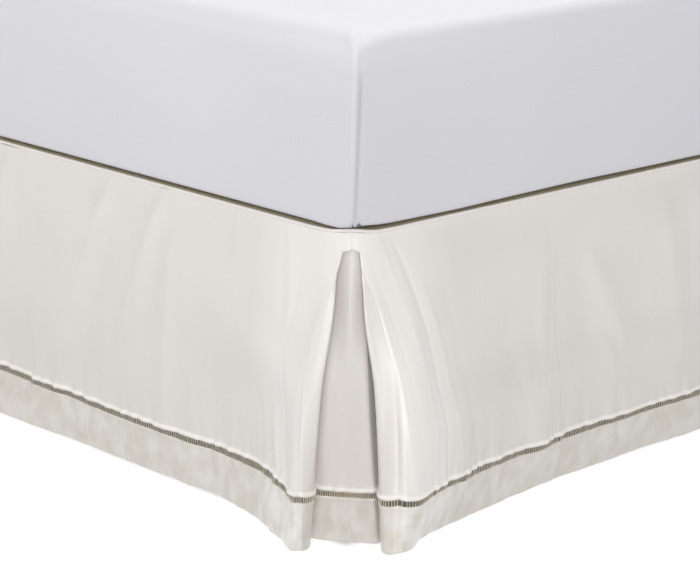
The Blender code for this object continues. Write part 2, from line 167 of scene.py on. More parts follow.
# Soft folds that fall down a drop. "top" and "hem" are the fold's distances from the corner of
# the bed at the two ends of the cloth, "height" is positive for a ridge and negative for a
# trough, and "start" and "end" are shares of the drop between which the fold shows.
FOLD_COLUMNS = ("top", "hem", "width", "height", "start", "end")
FOOT_FOLDS = (
    (0.096, -0.012, 0.012, 0.0022, -0.05, 0.50),
    (0.110, 0.004, 0.009, -0.0020, -0.05, 0.45),
    (0.060, 0.058, 0.005, -0.0010, 0.05, 1.10),
    (0.122, 0.120, 0.045, -0.0160, 0.40, 1.00),
    (0.134, 0.130, 0.010, -0.0022, 0.50, 1.10),
    (0.102, 0.086, 0.014, 0.0040, 0.52, 1.20),
    (0.190, 0.130, 0.007, 0.0012, -0.05, 0.30),
    (0.225, 0.240, 0.030, -0.0040, 0.30, 1.20),
    (0.265, 0.268, 0.018, 0.0030, 0.45, 1.20),
    (0.300, 0.327, 0.017, 0.0044, 0.05, 0.90),
    (0.320, 0.388, 0.021, -0.0040, 0.02, 0.75),
    (0.325, 0.474, 0.017, 0.0060, -0.08, 0.70),
    (0.412, 0.530, 0.025, -0.0080, 0.05, 0.92),
    (0.430, 0.580, 0.018, 0.0074, -0.05, 0.86),
    (0.500, 0.505, 0.032, -0.0030, 0.70, 1.20),
    (0.545, 0.640, 0.026, -0.0040, 0.10, 0.85),
    (0.640, 0.650, 0.040, -0.0100, 0.55, 1.00),
    (0.660, 0.660, 0.050, 0.0090, 0.82, 1.30),
    (0.653, 0.712, 0.022, 0.0055, -0.10, 0.60),
    (0.780, 0.800, 0.060, -0.0040, 0.10, 1.20),
    (0.930, 0.915, 0.065, 0.0045, 0.00, 1.10),
    (1.080, 1.095, 0.060, -0.0040, 0.20, 1.20),
    (1.220, 1.200, 0.050, 0.0045, -0.10, 0.90),
    (1.340, 1.350, 0.030, -0.0035, 0.20, 1.20),
)
SIDE_FOLDS = (
    (-0.004, 0.024, 0.0045, 0.0013, -0.05, 1.05),
    (0.010, 0.038, 0.0045, -0.0010, -0.02, 1.05),
    (0.030, 0.072, 0.007, 0.0016, -0.10, 1.00),
    (0.050, 0.110, 0.008, -0.0032, -0.05, 1.00),
    (0.060, 0.150, 0.009, 0.0026, 0.10, 1.00),
    (0.100, 0.190, 0.014, -0.0024, 0.10, 1.00),
    (0.180, 0.200, 0.030, -0.0030, 0.40, 1.00),
    (0.130, 0.130, 0.060, 0.0042, 0.45, 1.06),
    (0.310, 0.310, 0.110, 0.0058, 0.45, 1.06),
    (0.560, 0.560, 0.120, 0.0058, 0.45, 1.06),
    (0.186, 0.300, 0.012, 0.0026, 0.45, 0.85),
    (0.240, 0.262, 0.024, -0.0045, 0.30, 0.95),
    (0.262, 0.300, 0.022, 0.0050, 0.35, 1.10),
    (0.325, 0.308, 0.018, 0.0048, 0.05, 1.00),
    (0.350, 0.350, 0.024, -0.0030, 0.05, 0.92),
    (0.375, 0.565, 0.020, 0.0060, 0.12, 0.70),
    (0.396, 0.420, 0.028, -0.0050, 0.05, 0.95),
    (0.343, 0.525, 0.009, 0.0026, 0.42, 0.92),
    (0.500, 0.535, 0.028, -0.0040, 0.15, 1.20),
    (0.562, 0.612, 0.020, 0.0065, 0.02, 0.80),
    (0.610, 0.640, 0.020, -0.0050, 0.05, 0.90),
    (0.690, 0.700, 0.034, -0.0050, 0.10, 1.20),
    (0.800, 0.815, 0.065, 0.0045, -0.05, 1.10),
    (0.960, 0.945, 0.060, -0.0040, 0.10, 1.20),
    (1.110, 1.130, 0.065, 0.0045, 0.00, 1.10),
    (1.280, 1.270, 0.065, -0.0040, 0.20, 1.20),
    (1.450, 1.470, 0.070, 0.0045, -0.10, 1.00),
    (1.630, 1.620, 0.065, -0.0035, 0.10, 1.20),
    (1.810, 1.830, 0.070, 0.0045, 0.00, 1.10),
)
FAR_SIDE_SHIFT = 0.035
FAR_SIDE_SHARE = 0.85

# Short puckers that rise from the hemstitching. "place" is the distance from the corner of the
# bed, "reach" how high a pucker climbs and "lean" how far it leans on the way.
PUCKER_COLUMNS = ("place", "width", "height", "reach", "lean")
FOOT_PUCKERS = (
    (0.262, 0.0050, 0.0010, 0.030, 0.10),
    (0.300, 0.0060, -0.0012, 0.034, 0.05),
    (0.345, 0.0055, 0.0010, 0.028, 0.00),
    (0.372, 0.0050, -0.0010, 0.030, 0.12),
    (0.418, 0.0060, 0.0011, 0.040, 0.00),
    (0.462, 0.0050, -0.0010, 0.026, -0.08),
    (0.545, 0.0045, 0.0010, 0.045, 0.06),
    (0.562, 0.0040, -0.0009, 0.040, 0.06),
    (0.590, 0.0045, 0.0009, 0.040, 0.10),
    (0.622, 0.0050, -0.0008, 0.030, 0.05),
)
SIDE_PUCKERS = (
    (0.112, 0.0045, -0.0017, 0.040, 0.14),
    (0.124, 0.0045, 0.0012, 0.034, 0.14),
    (0.134, 0.0040, -0.0014, 0.030, 0.16),
    (0.143, 0.0040, 0.0012, 0.028, 0.18),
    (0.152, 0.0038, -0.0014, 0.026, 0.18),
    (0.162, 0.0040, 0.0010, 0.024, 0.18),
    (0.172, 0.0040, -0.0010, 0.022, 0.16),
    (0.214, 0.0050, 0.0009, 0.040, 0.05),
    (0.236, 0.0050, -0.0009, 0.036, 0.00),
    (0.352, 0.0050, 0.0008, 0.030, 0.00),
    (0.405, 0.0060, -0.0010, 0.030, 0.00),
    (0.448, 0.0050, 0.0009, 0.040, 0.20),
    (0.530, 0.0055, -0.0009, 0.030, 0.10),
    (0.585, 0.0055, 0.0009, 0.030, 0.00),
)

# Small creases that fall at uneven places: the least and most of each of their sizes. "middle"
# and "spread" are shares of the hem band's height.
SCATTERED_PUCKERS = {
    "step": (0.0045, 0.0150),
    "width": (0.0030, 0.0062),
    "height": (0.0006, 0.0024),
    "reach": (0.012, 0.040),
    "lean": (-0.15, 0.15),
}
SCATTERED_RIPPLES = {
    "step": (0.0056, 0.0224),
    "width": (0.0045, 0.012),
    "height": (0.00052, 0.00195),
    "lean": (-0.012, 0.012),
    "middle": (0.1, 0.8),
    "spread": (0.3, 0.9),
}
BAND_LEAN = 0.0020
CLIMB_SLACK = 0.0005
BAND_SLACK = 0.001

# A fold's crest is the sharper the narrower the fold is, and a fold fades in and out over this
# share of the drop
SOFT_FOLD = 0.028
CREST = 1.25
FOLD_FADE = 0.22

# The cloth lies flat at its folded edge, up to this distance from it, and the scattered puckers
# start further on
EDGE_FLAT = 0.006
PUCKERS_FROM = 0.020

# Share of the drop over which its seam holds it upright before it swings out, how much of a
# thread's slant shortens its fall (the weave gives the rest), and the least share that it falls
SEAM_HOLD = 0.03
SLANT_SHARE = 0.58
LEAST_FALL = 0.35

# Angles between faces, in degrees, that show as an edge on cloth and on the bed
SHARP_FOLD = 60
SHARP_EDGE = 35

# The two parts of a drop: the cloth down to the hemstitching, and the hem band under it.
# "down" is measured from the seam and "above" from the hem's edge. Each row has the cloth's
# thickness there and how far it stands proud.
CLOTH_THIN = 0.0011
BAND_THICK = 0.0016
SEAM_ROWS = (
    *(0.0, 0.0012, 0.0030, 0.0060, 0.0095, 0.0130, 0.0158, 0.0178, 0.0198),
    *(0.0218, 0.0238, 0.0260, 0.0290, 0.0330),
)
LONG_STEP = 0.0105
SHORT_STEP = 0.0045
SHORT_ROWS_FROM = 0.112
EDGE_COLUMNS = ("above", "thick", "proud")
CLOTH_EDGE = (
    (0.0746, 0.0011, 0.0000),
    (0.0726, 0.0012, 0.0001),
    (0.0710, 0.0016, 0.0006),
    (0.0698, 0.0024, 0.0013),
    (0.0686, 0.0031, 0.0019),
    (0.0672, 0.0033, 0.0020),
    (0.0660, 0.0028, 0.0014),
    (0.0651, 0.0020, 0.0007),
)
BAND_EDGE = (
    (0.0566, 0.0017, 0.0004),
    (0.0554, 0.0022, 0.0007),
    (0.0540, 0.0022, 0.0007),
    (0.0525, 0.0018, 0.0003),
    (0.0502, 0.0016, 0.0001),
)
BAND_STEP = 0.0046
HEM_EDGE = ((0.0040, 0.0018, 0.0000), (0.0018, 0.0021, 0.0000), (0.0010, 0.0020, 0.0000))

# Threads of the hemstitching, bundled into bars
BAR_PITCH = 0.0034
BAR_TUCK = 0.0009
BAR_COLUMNS = ("share", "half_width", "half_depth")
BAR_RINGS = (
    (0.00, 0.00080, 0.00040),
    (0.22, 0.00055, 0.00034),
    (0.50, 0.00046, 0.00030),
    (0.78, 0.00055, 0.00034),
    (1.00, 0.00080, 0.00040),
)
BAR_SIDES = 5
BAR_UNEVEN = 0.0003
BAR_LEAN = 0.0004
BESIDE_BAR = 0.0004

# Columns of the cloth: the longest step up to each distance from a folded edge
STEP_COLUMNS = ("reach", "step")
FACE_STEPS = (
    (0.0022, 0.00045),
    (0.0120, 0.0016),
    (0.2200, 0.0022),
    (0.7000, 0.0028),
    (math.inf, 0.0080),
)
RETURN_STEPS = ((0.0022, 0.00045), (0.0340, 0.0020), (PLEAT_DEPTH, 0.0040))


def rows_of(table, columns):
    return [dict(zip(columns, row)) for row in table]


def columns_of(table, columns):
    """A table's columns as arrays, by name."""
    return {name: np.array([row[i] for row in table]) for i, name in enumerate(columns)}


# Materials


class Amount:
    """A number that varies over a surface. Sums on amounts add the nodes that work them out."""

    def __init__(self, finish, socket):
        self.finish = finish
        self.socket = socket

    def worked(self, operation, *others):
        return self.finish.node("ShaderNodeMath", {"operation": operation}, dict(enumerate(others)))

    def __add__(self, other):
        return self.worked("ADD", self, other)

    def __sub__(self, other):
        return self.worked("SUBTRACT", self, other)

    def __rsub__(self, other):
        return self.worked("SUBTRACT", other, self)

    def __mul__(self, other):
        return self.worked("MULTIPLY", self, other)

    __radd__ = __add__
    __rmul__ = __mul__

    def size(self):
        return self.worked("ABSOLUTE", self)

    def ramp(self, start, end):
        """From nothing where the amount is at the start to one where it is at the end."""
        settings = {"operation": "MULTIPLY", "use_clamp": True}
        return self.finish.node("ShaderNodeMath", settings, {0: self - start, 1: 1 / (end - start)})


# The output of Texture Coordinate that gives places on the object
OBJECT_PLACE = 3


class Finish:
    """A material, and the nodes that vary its colour, shine and surface."""

    def __init__(self, name, **constants):
        self.material = bpy.data.materials.new(name)
        self.material.use_nodes = True
        self.tree = self.material.node_tree
        self.shader = self.tree.nodes["Principled BSDF"]
        for socket, value in constants.items():
            self.shader.inputs[socket.replace("_", " ")].default_value = value

    def feed(self, socket, value):
        if isinstance(value, Amount):
            self.tree.links.new(value.socket, socket)
        else:
            socket.default_value = value

    def node(self, kind, settings, sockets, output=0):
        made = self.tree.nodes.new(kind)
        for name, value in settings.items():
            if name == "stops":
                for stop, (place, colour) in zip(made.color_ramp.elements, value):
                    stop.position, stop.color = place, (*colour, 1.0)
            else:
                setattr(made, name, value)
        for socket, value in sockets.items():
            self.feed(made.inputs[socket], value)
        return Amount(self, made.outputs[output])

    def place(self):
        """Place on the object, in metres."""
        return self.node("ShaderNodeTexCoord", {}, {}, output=OBJECT_PLACE)

    def apart(self, where):
        """The parts of a vector, as amounts."""
        return [self.node("ShaderNodeSeparateXYZ", {}, {0: where}, i) for i in range(3)]

    def noise(self, where, scale, detail=2.0, roughness=0.5):
        sockets = {"Vector": where, "Scale": scale, "Detail": detail, "Roughness": roughness}
        return self.node("ShaderNodeTexNoise", {}, sockets)

    def stretched_noise(self, where, scales, **settings):
        """Noise with its own scale in each direction."""
        wide = self.node("ShaderNodeVectorMath", {"operation": "MULTIPLY"}, {0: where, 1: scales})
        return self.noise(wide, 1.0, **settings)

    def blend(self, share, first, second):
        """Colour between two colours."""
        settings = {"data_type": "RGBA", "blend_type": "MIX"}
        return self.node("ShaderNodeMix", settings, {0: share, 6: first, 7: second}, output=2)

    def bump(self, height, distance, strength=1.0, under=None):
        sockets = {"Height": height, "Distance": distance, "Strength": strength}
        if under:
            sockets["Normal"] = under
        return self.node("ShaderNodeBump", {}, sockets)

    def surface(self, colour, roughness=None, normal=None):
        self.feed(self.shader.inputs["Base Color"], colour)
        if roughness:
            self.feed(self.shader.inputs["Roughness"], roughness)
        if normal:
            self.feed(self.shader.inputs["Normal"], normal)
        return self.material


def rgba(colour, share=1.0):
    return (*(part * share for part in colour), 1.0)


IVORY = (0.792, 0.758, 0.724)
IVORY_SHADE = (0.700, 0.664, 0.616)
HEM_SHADE = (0.615, 0.574, 0.492)
HIGHLIGHT_IVORY = (0.888, 0.854, 0.822)
THREAD_SHADED_OLIVE = (0.680, 0.630, 0.480)
COOL_WHITE = (0.792, 0.786, 0.826)
COOL_SHADE = (0.742, 0.736, 0.776)
SEAM_SHADE = (0.625, 0.621, 0.655)
DECK_COTTON = (0.620, 0.560, 0.400)
OATMEAL = (0.360, 0.335, 0.290)
OATMEAL_SHADE = (0.270, 0.250, 0.215)
BEECH = (0.580, 0.450, 0.320)
BEECH_GRAIN = (0.430, 0.310, 0.205)
FELT = (0.150, 0.140, 0.130)


# The corner pieces are painted a shade darker, as painted shade of the recess inside the pleat, and the
# rim's cloth is painted a shade lighter, as a painted highlight along it
RECESS_SHADE_TONE = 0.935
RIM_HIGHLIGHT_TONE = 1.06

# Painted shade: how dark the cloth is painted at its top and at its hem, from ivory to its shade
DROP_PAINTED_SHADE = (0.04, 0.94)
RECESS_SHADE_SHARE = (0.66, 0.66)
RIM_SHADE = (0.04, 0.04)

# Painted highlight: the cloth beside a folded edge is painted lighter. The share of the way to the
# lightest ivory, and how far from the edge it reaches
EDGE_HIGHLIGHT = {"share": 0.72, "full": 0.080, "to": 0.145, "soft": 0.010}

# Where the doubled hem begins, down the cloth
HEM_FOLD = CLOTH_HEIGHT - 0.0590
HEM_FOLD_FADE = 1 / 260

# The rolled edge over the hemstitching, painted lighter along it as a painted highlight
ROLLED = {"down": CLOTH_HEIGHT - 0.0688, "half": 0.0038, "share": 0.95, "tone": 1.08}

# Threads, streaks and clouds of the cloth: how many to a metre, across and down
WARP = (1500.0, 95.0, 1.0)
WEFT = (70.0, 1500.0, 1.0)
STREAKS = (160.0, 5.0, 1.0)
CLOUDS = (9.0, 7.0, 1.0)
HEM_BLOTCHES = (48.0, 34.0, 1.0)


def sateen(name, tone=1.0, shade=DROP_PAINTED_SHADE, highlit_edges=False, hemmed=True):
    """Cotton sateen: long floats along the cloth, fine slubs and a soft shine."""
    finish = Finish(name, Sheen_Weight=0.30, Sheen_Roughness=0.35, Specular_IOR_Level=0.62)
    cloth = finish.node("ShaderNodeUVMap", {"uv_map": "Cloth"}, {})
    warp = finish.stretched_noise(cloth, WARP, detail=1.0)
    weft = finish.stretched_noise(cloth, WEFT, detail=1.0)
    thread = warp * 0.55 + weft * 0.45
    streak = finish.stretched_noise(cloth, STREAKS, detail=3.0)
    cloud = finish.stretched_noise(cloth, CLOUDS, detail=4.0)
    beside, down, _ = finish.apart(cloth)
    share = (streak - 0.5) * 0.25 + (cloud - 0.5) * 0.85 + (thread - 0.5) * 0.35
    # Painted shade: the cloth is painted darker down the drop, towards its hem
    share = share + down * ((shade[1] - shade[0]) / CLOTH_HEIGHT) + shade[0]
    if hemmed:
        # The doubled hem band is painted darker and warmer in blotches: partly painted shade from its
        # puckers and hemstitching, partly a mottled tone of its own
        blotch = finish.stretched_noise(cloth, HEM_BLOTCHES, detail=3.0)
        hem = down.ramp(HEM_FOLD, HEM_FOLD + HEM_FOLD_FADE)
        share = share + hem * (blotch * 1.3 - 0.65)
    colour = finish.blend(share, rgba(IVORY, tone), rgba(IVORY_SHADE, tone))
    # Painted highlight: the cloth beside the pleats' folded edges is painted lighter
    if highlit_edges:
        smooth = beside.ramp(EDGE_HIGHLIGHT["to"], EDGE_HIGHLIGHT["full"])
        smooth = smooth * beside.ramp(-EDGE_HIGHLIGHT["soft"] / 2, EDGE_HIGHLIGHT["soft"] / 2)
        colour = finish.blend(smooth * EDGE_HIGHLIGHT["share"], colour, rgba(HIGHLIGHT_IVORY))
    if hemmed:
        colour = finish.blend(hem * (blotch * 2.6 - 1.05), colour, rgba(HEM_SHADE, tone))
        # Painted highlight along the rolled edge over the hemstitching
        rolled = (down - ROLLED["down"]).size().ramp(ROLLED["half"], 0.0)
        lit = rgba(HIGHLIGHT_IVORY, tone * ROLLED["tone"])
        colour = finish.blend(rolled * ROLLED["share"], colour, lit)
    roughness = 0.34 + (thread - 0.5) * 0.22 + (cloud - 0.5) * 0.10
    creases = finish.bump(cloud + streak * 0.10, 0.0014, 0.6)
    return finish.surface(colour, roughness, finish.bump(thread, 0.00012, 0.5, creases))


def thread_finish():
    """Twisted sewing thread for the hemstitching bars, painted darker and more olive than the cloth as
    painted shade among the bars.
    """
    finish = Finish("hemstitch_thread", Sheen_Weight=0.25, Specular_IOR_Level=0.4)
    where = finish.place()
    twist = finish.noise(where, 2600.0, detail=1.0)
    colour = finish.blend(twist, rgba(THREAD_SHADED_OLIVE), rgba(THREAD_SHADED_OLIVE, 0.86))
    return finish.surface(colour, 0.5 + twist * 0.15, finish.bump(twist, 0.0002, 0.6))


# The fitted sheet is painted darker along its corner seams, low on its sides, and at the corners:
# painted shade
SHEET_PULLS = (3.0, 3.0, 26.0)
SEAM_TOP = SKIRT_TOP + SEAM_LINE[1][0]
SEAM_FADE = 0.025

# Distances from the seam or the corner where each painted shade ends and where it is full
SEAM_SHADE_BAND = (0.0090, 0.0010)
CORNER_SHADE_BAND = (0.0065, 0.0025)
NEAR_CORNER_SHADE_BAND = (0.30, 0.0)


def sheet_cotton():
    """Plain woven cotton of the fitted sheet, pulled smooth over the mattress, with painted shade at
    its seams and corners.
    """
    finish = Finish("sheet_cotton", Sheen_Weight=0.1, Sheen_Roughness=0.5, Specular_IOR_Level=0.15)
    where = finish.place()
    weave = finish.noise(where, 1300.0, detail=1.0)
    pull = finish.stretched_noise(where, SHEET_PULLS, detail=4.0)
    cloud = finish.noise(where, 4.5, detail=4.0)
    x, y, z = finish.apart(where)
    from_side = BED_WIDTH / 2 - x.size()
    from_end = BED_LENGTH / 2 - (y - MIDDLE_Y).size()
    past_corner = from_end - from_side
    # Painted shade along each corner seam, near the corners, low on the sides and at the corners' foot
    off_seam = (past_corner - (z - SKIRT_TOP) * SEAM_SLOPE - SEAM_LINE[0][1]).size()
    seam_end = SEAM_TOP - SEAM_START / 2
    seam = off_seam.ramp(*SEAM_SHADE_BAND) * z.ramp(seam_end, seam_end - SEAM_FADE)
    off_corner = past_corner.size()
    near_corner_shade = off_corner.ramp(*NEAR_CORNER_SHADE_BAND) * z.ramp(SEAM_TOP, SEAM_TOP - SEAM_FADE)
    corner = off_corner.ramp(*CORNER_SHADE_BAND)
    low = z.ramp(SKIRT_TOP + MATTRESS_THICKNESS, SKIRT_TOP)
    share = (cloud - 0.5) * 0.8 + (weave - 0.5) * 0.25 + near_corner_shade * 0.75 + low * 0.60
    colour = finish.blend(share, rgba(COOL_WHITE), rgba(COOL_SHADE))
    colour = finish.blend(corner * low * 0.40, colour, rgba(SEAM_SHADE))
    colour = finish.blend(seam * 0.85, colour, rgba(SEAM_SHADE))
    creases = finish.bump(pull * 0.6 + cloud, 0.0016, 0.5)
    roughness = 0.85 + (weave - 0.5) * 0.2
    return finish.surface(colour, roughness, finish.bump(weave, 0.00012, 0.5, creases))


def deck_cotton():
    """Unbleached cotton of the deck, out of sight under the mattress."""
    finish = Finish("deck_cotton", Specular_IOR_Level=0.15)
    where = finish.place()
    weave = finish.noise(where, 900.0, detail=1.0)
    flecks = finish.noise(where, 60.0, detail=3.0)
    colour = finish.blend(flecks, rgba(DECK_COTTON), rgba(DECK_COTTON, 0.85))
    return finish.surface(colour, 0.85 + weave * 0.1, finish.bump(weave, 0.00015, 0.6))


LINEN_KNOTS = 420.0
LINEN_SLUBS = (40.0, 40.0, LINEN_KNOTS)


def base_linen():
    """Coarse linen of the bed base, with a basket weave."""
    finish = Finish("base_linen", Sheen_Weight=0.15, Specular_IOR_Level=0.25)
    where = finish.place()
    settings = {"feature": "F1", "distance": "CHEBYCHEV"}
    sockets = {"Vector": where, "Scale": LINEN_KNOTS, "Randomness": 0.18}
    knots = finish.node("ShaderNodeTexVoronoi", settings, sockets)
    slub = finish.stretched_noise(where, LINEN_SLUBS, detail=3.0)
    colour = finish.blend(slub * 0.7 + knots * 0.35, rgba(OATMEAL), rgba(OATMEAL_SHADE))
    roughness = 0.82 + (slub - 0.5) * 0.2
    return finish.surface(colour, roughness, finish.bump(0.6 - knots + slub * 0.4, 0.0005, 0.7))


GRAIN = (95.0, 95.0, 6.0)
GRAIN_FLECKS = (520.0, 520.0, 60.0)


def beech():
    """Oiled beech with its grain along the leg."""
    finish = Finish("beech", Specular_IOR_Level=0.45, Coat_Weight=0.12, Coat_Roughness=0.3)
    where = finish.place()
    grain = finish.stretched_noise(where, GRAIN, detail=5.0, roughness=0.6)
    flecks = finish.stretched_noise(where, GRAIN_FLECKS)
    stops = ((0.36, BEECH), (0.68, BEECH_GRAIN))
    colour = finish.node("ShaderNodeValToRGB", {"stops": stops}, {0: grain * 0.8 + flecks * 0.2})
    roughness = 0.42 + (flecks - 0.5) * 0.3
    return finish.surface(colour, roughness, finish.bump(grain + flecks * 0.5, 0.0003, 0.4))


def felt():
    """Felt of the pads under the legs."""
    finish = Finish("felt", Sheen_Weight=0.3, Specular_IOR_Level=0.2)
    where = finish.place()
    fibres = finish.noise(where, 900.0, detail=3.0)
    colour = finish.blend(fibres, rgba(FELT), rgba(FELT, 0.6))
    return finish.surface(colour, 0.95, finish.bump(fibres, 0.0006, 0.8))


# Hanging cloth


def smoothstep(share):
    held = np.clip(share, 0.0, 1.0)
    return held * held * (3.0 - 2.0 * held)


def cubic(first, last, leaving, arriving, t):
    """Cubic between two values, from its slopes where it leaves the first and meets the last."""
    eased_out = (first * (1 + 2 * t) + leaving * t) * (1 - t) ** 2
    return eased_out + (last * (3 - 2 * t) + arriving * (t - 1)) * t * t


def smooth_curve(places, values, at):
    """Smooth curve through the values at the places, for an array of places."""
    index = np.arange(len(places))
    before, after = np.maximum(index - 1, 0), np.minimum(index + 1, len(places) - 1)
    slope = (values[after] - values[before]) / (places[after] - places[before])
    held = np.clip(at, places[0], places[-1])
    last = np.clip(np.searchsorted(places, held), 1, len(places) - 1)
    first = last - 1
    span = places[last] - places[first]
    t = (held - places[first]) / span
    return cubic(values[first], values[last], slope[first] * span, slope[last] * span, t)


def swing(share):
    """How far cloth has swung out at each share of the drop, from upright under its seam."""
    return share * share * (1 + SEAM_HOLD) / (share + SEAM_HOLD)


HEIGHT_SHARES = np.array([swing(share) for share in (0.0, 0.2, 0.5, 1.0)])


def down_the_drop(values, share):
    """Value at each share of the drop of the smooth curve through the values at four heights."""
    low = swing(share)
    slopes = []
    for i in range(4):
        before, after = max(i - 1, 0), min(i + 1, 3)
        slopes.append((values[after] - values[before]) / (HEIGHT_SHARES[after] - HEIGHT_SHARES[before]))
    found = 0.0
    for i in range(3):
        span = HEIGHT_SHARES[i + 1] - HEIGHT_SHARES[i]
        t = (low - HEIGHT_SHARES[i]) / span
        here = (t >= 0 if i else t >= -1) & (t < 1 if i < 2 else t <= 2)
        t = np.clip(t, 0.0, 1.0)
        curve = cubic(values[i], values[i + 1], slopes[i] * span, slopes[i + 1] * span, t)
        found = found + np.where(here, curve, 0.0)
    return found


def rim_point(distance, inset):
    """Places under the deck's rim as (along, out), from the middle of the rounded corner."""
    radius = CORNER_RADIUS
    half_arc = radius * math.pi / 4
    turn = (half_arc - np.minimum(distance, half_arc)) / radius
    along = radius - radius * np.sin(turn) + inset * np.sin(turn)
    out = radius * np.cos(turn) - radius - inset * np.cos(turn)
    return along + np.maximum(distance - half_arc, 0.0), out


def folded_top(cloth):
    """Top edge of a drop at distances from its folded edge: the turned back part lies behind."""
    radius = LAYER / 2
    half_turn = radius * math.pi / 2
    angle = np.clip(cloth / radius, -math.pi / 2, math.pi / 2)
    distance = FOLD_PLACE + radius - radius * np.cos(angle)
    inset = CLOTH / 2 + radius - radius * np.sin(angle)
    return rim_point(distance + np.maximum(np.abs(cloth) - half_turn, 0.0), inset)


def pleat_line(table, base, cloth, share):
    """Where the threads of a drop hang beside a foot corner, as (along, out) for each share."""
    rows = columns_of(table, PLEAT_COLUMNS)
    edge = rows["cloth"]
    end_along = folded_top(edge[-1:])[0][0]
    fade = 1 - smoothstep((cloth - edge[-1]) / edge[-1])

    def fall(cloth, fade):
        top_along, top_out = folded_top(cloth)
        along, out = [top_along], [top_out]
        for height in HEIGHTS:
            beside = smooth_curve(edge, rows[height + "_along"], cloth)
            beyond = top_along + (rows[height + "_along"][-1] - end_along) * fade
            along.append(np.where(cloth < edge[-1], beside, beyond))
            standing = smooth_curve(edge, rows[height + "_out"], cloth)
            out.append(np.where(cloth < edge[-1], standing, base[height]))
        return down_the_drop(along, share), down_the_drop(out, share)

    along, out = fall(cloth, fade)
    edge_along, edge_out = fall(np.zeros((1, 1)), 1.0)
    shut = 1 - smoothstep((share - CLOSED["until"]) / (CLOSED["open"] - CLOSED["until"]))
    narrow = base["narrowed"] * np.exp(-(((share - NARROWED["at"]) / NARROWED["width"]) ** 2))
    shut = shut + (1 - shut) * narrow
    beside = np.maximum(cloth, 0.0)
    turn = np.maximum(CORNER_RADIUS * math.pi / 4 - FOLD_PLACE - beside, 0.0) / CORNER_RADIUS
    slid = (edge_along + edge_out - CLOSED["apart"]) / (np.cos(turn) + np.sin(turn))
    slid = slid * shut * np.exp(-((beside / CLOSED["fade"]) ** 2))
    return along - slid * np.cos(turn), out - slid * np.sin(turn)


def fold_lift(folds, place, share):
    """How far the soft folds lift the cloth off its line."""
    lift = np.zeros(np.broadcast(place, share).shape)
    for fold in folds:
        middle = fold["top"] + (fold["hem"] - fold["top"]) * share
        soft = (fold["width"] / SOFT_FOLD) ** 2
        across = np.hypot((place - middle) / fold["width"], soft) - soft
        begun = smoothstep((share - fold["start"]) / FOLD_FADE)
        shown = begun * smoothstep((fold["end"] - share) / FOLD_FADE)
        lift += fold["height"] * shown * np.exp(-CREST * across)
    return lift


def pucker_lift(puckers, place, above):
    """Short puckers above the hemstitching, dying out as they climb."""
    lift = np.zeros(np.broadcast(place, above).shape)
    climb = above - CLOTH_EDGE[-1][0]
    for pucker in puckers:
        middle = pucker["place"] + pucker["lean"] * climb
        across = (place - middle) / (pucker["width"] * (1 + climb / pucker["reach"]))
        fade = np.exp(-np.maximum(climb, 0.0) / pucker["reach"])
        lift += pucker["height"] * fade * np.exp(-across * across)
    return np.where(climb > -CLIMB_SLACK, lift, 0.0)


def ripple_lift(ripples, place, above):
    """Soft ripples of the hem band, fullest under the hemstitching."""
    deep = np.clip(1 - above / BAND_EDGE[0][0], 0.0, 1.0)
    lift = np.zeros(np.broadcast(place, above).shape) - BAND_LEAN * deep * deep
    for ripple in ripples:
        across = (place - ripple["place"] - ripple["lean"] * (deep - 0.5)) / ripple["width"]
        along = (deep - ripple["middle"]) / ripple["spread"]
        lift += ripple["height"] * np.exp(-across * across - along * along)
    return lift


def scattered(seed, start, end, sizes):
    """Small creases at uneven places, up or down, each size drawn from its own range."""
    chance = random.Random(seed)
    found = []
    place = start
    while place < end:
        place += chance.uniform(*sizes["step"])
        side = chance.choice((-1, 1))
        crease = {name: chance.uniform(*ends) for name, ends in sizes.items() if name != "step"}
        found.append({**crease, "place": place, "height": side * crease["height"]})
    return found


def stepped(start, end, longest):
    """Even places after the start up to the end."""
    count = max(1, math.ceil((end - start) / longest - 1e-6))
    return [start + (end - start) * (i + 1) / count for i in range(count)]


def steps_from_edge(table, end):
    places = [0.0]
    for row in rows_of(table, STEP_COLUMNS):
        reach = min(row["reach"], end)
        places += stepped(places[-1], reach, row["step"])
        if reach == end:
            return places


def drop_places(length, far_pleat):
    """Places across a drop, close together at its folded edges."""
    turned_back = [-place for place in reversed(steps_from_edge(RETURN_STEPS, PLEAT_DEPTH)[1:])]
    half = length / 2 if far_pleat else length
    places = turned_back + steps_from_edge(FACE_STEPS, half)
    if far_pleat:
        places += [length - place for place in reversed(places[:-1])]
    return np.array(places)


def strip_rows():
    """Rows of the two parts of a drop, as {"down", "thick", "proud"} arrays from the top down."""

    def edge_rows(table):
        rows = rows_of(table, EDGE_COLUMNS)
        return [(CLOTH_HEIGHT - row["above"], row["thick"], row["proud"]) for row in rows]

    short_from, plain_to = CLOTH_HEIGHT - SHORT_ROWS_FROM, CLOTH_HEIGHT - CLOTH_EDGE[0][0]
    plain = [*SEAM_ROWS, *stepped(SEAM_ROWS[-1], short_from, LONG_STEP)]
    plain += stepped(short_from, plain_to, SHORT_STEP)
    upper = [(down, CLOTH_THIN, 0.0) for down in plain] + edge_rows(CLOTH_EDGE[1:])
    band, hem = edge_rows(BAND_EDGE), edge_rows(HEM_EDGE)
    band += [(down, BAND_THICK, 0.0) for down in stepped(band[-1][0], hem[0][0], BAND_STEP)[:-1]]
    columns = ("down", "thick", "proud")
    return columns_of(upper, columns), columns_of(band + hem, columns)


def corner_rise(place):
    """How much higher the rim stands at a distance from the middle of a foot corner."""
    return CORNER_RISE["height"] * np.exp(-((place / CORNER_RISE["reach"]) ** 2))


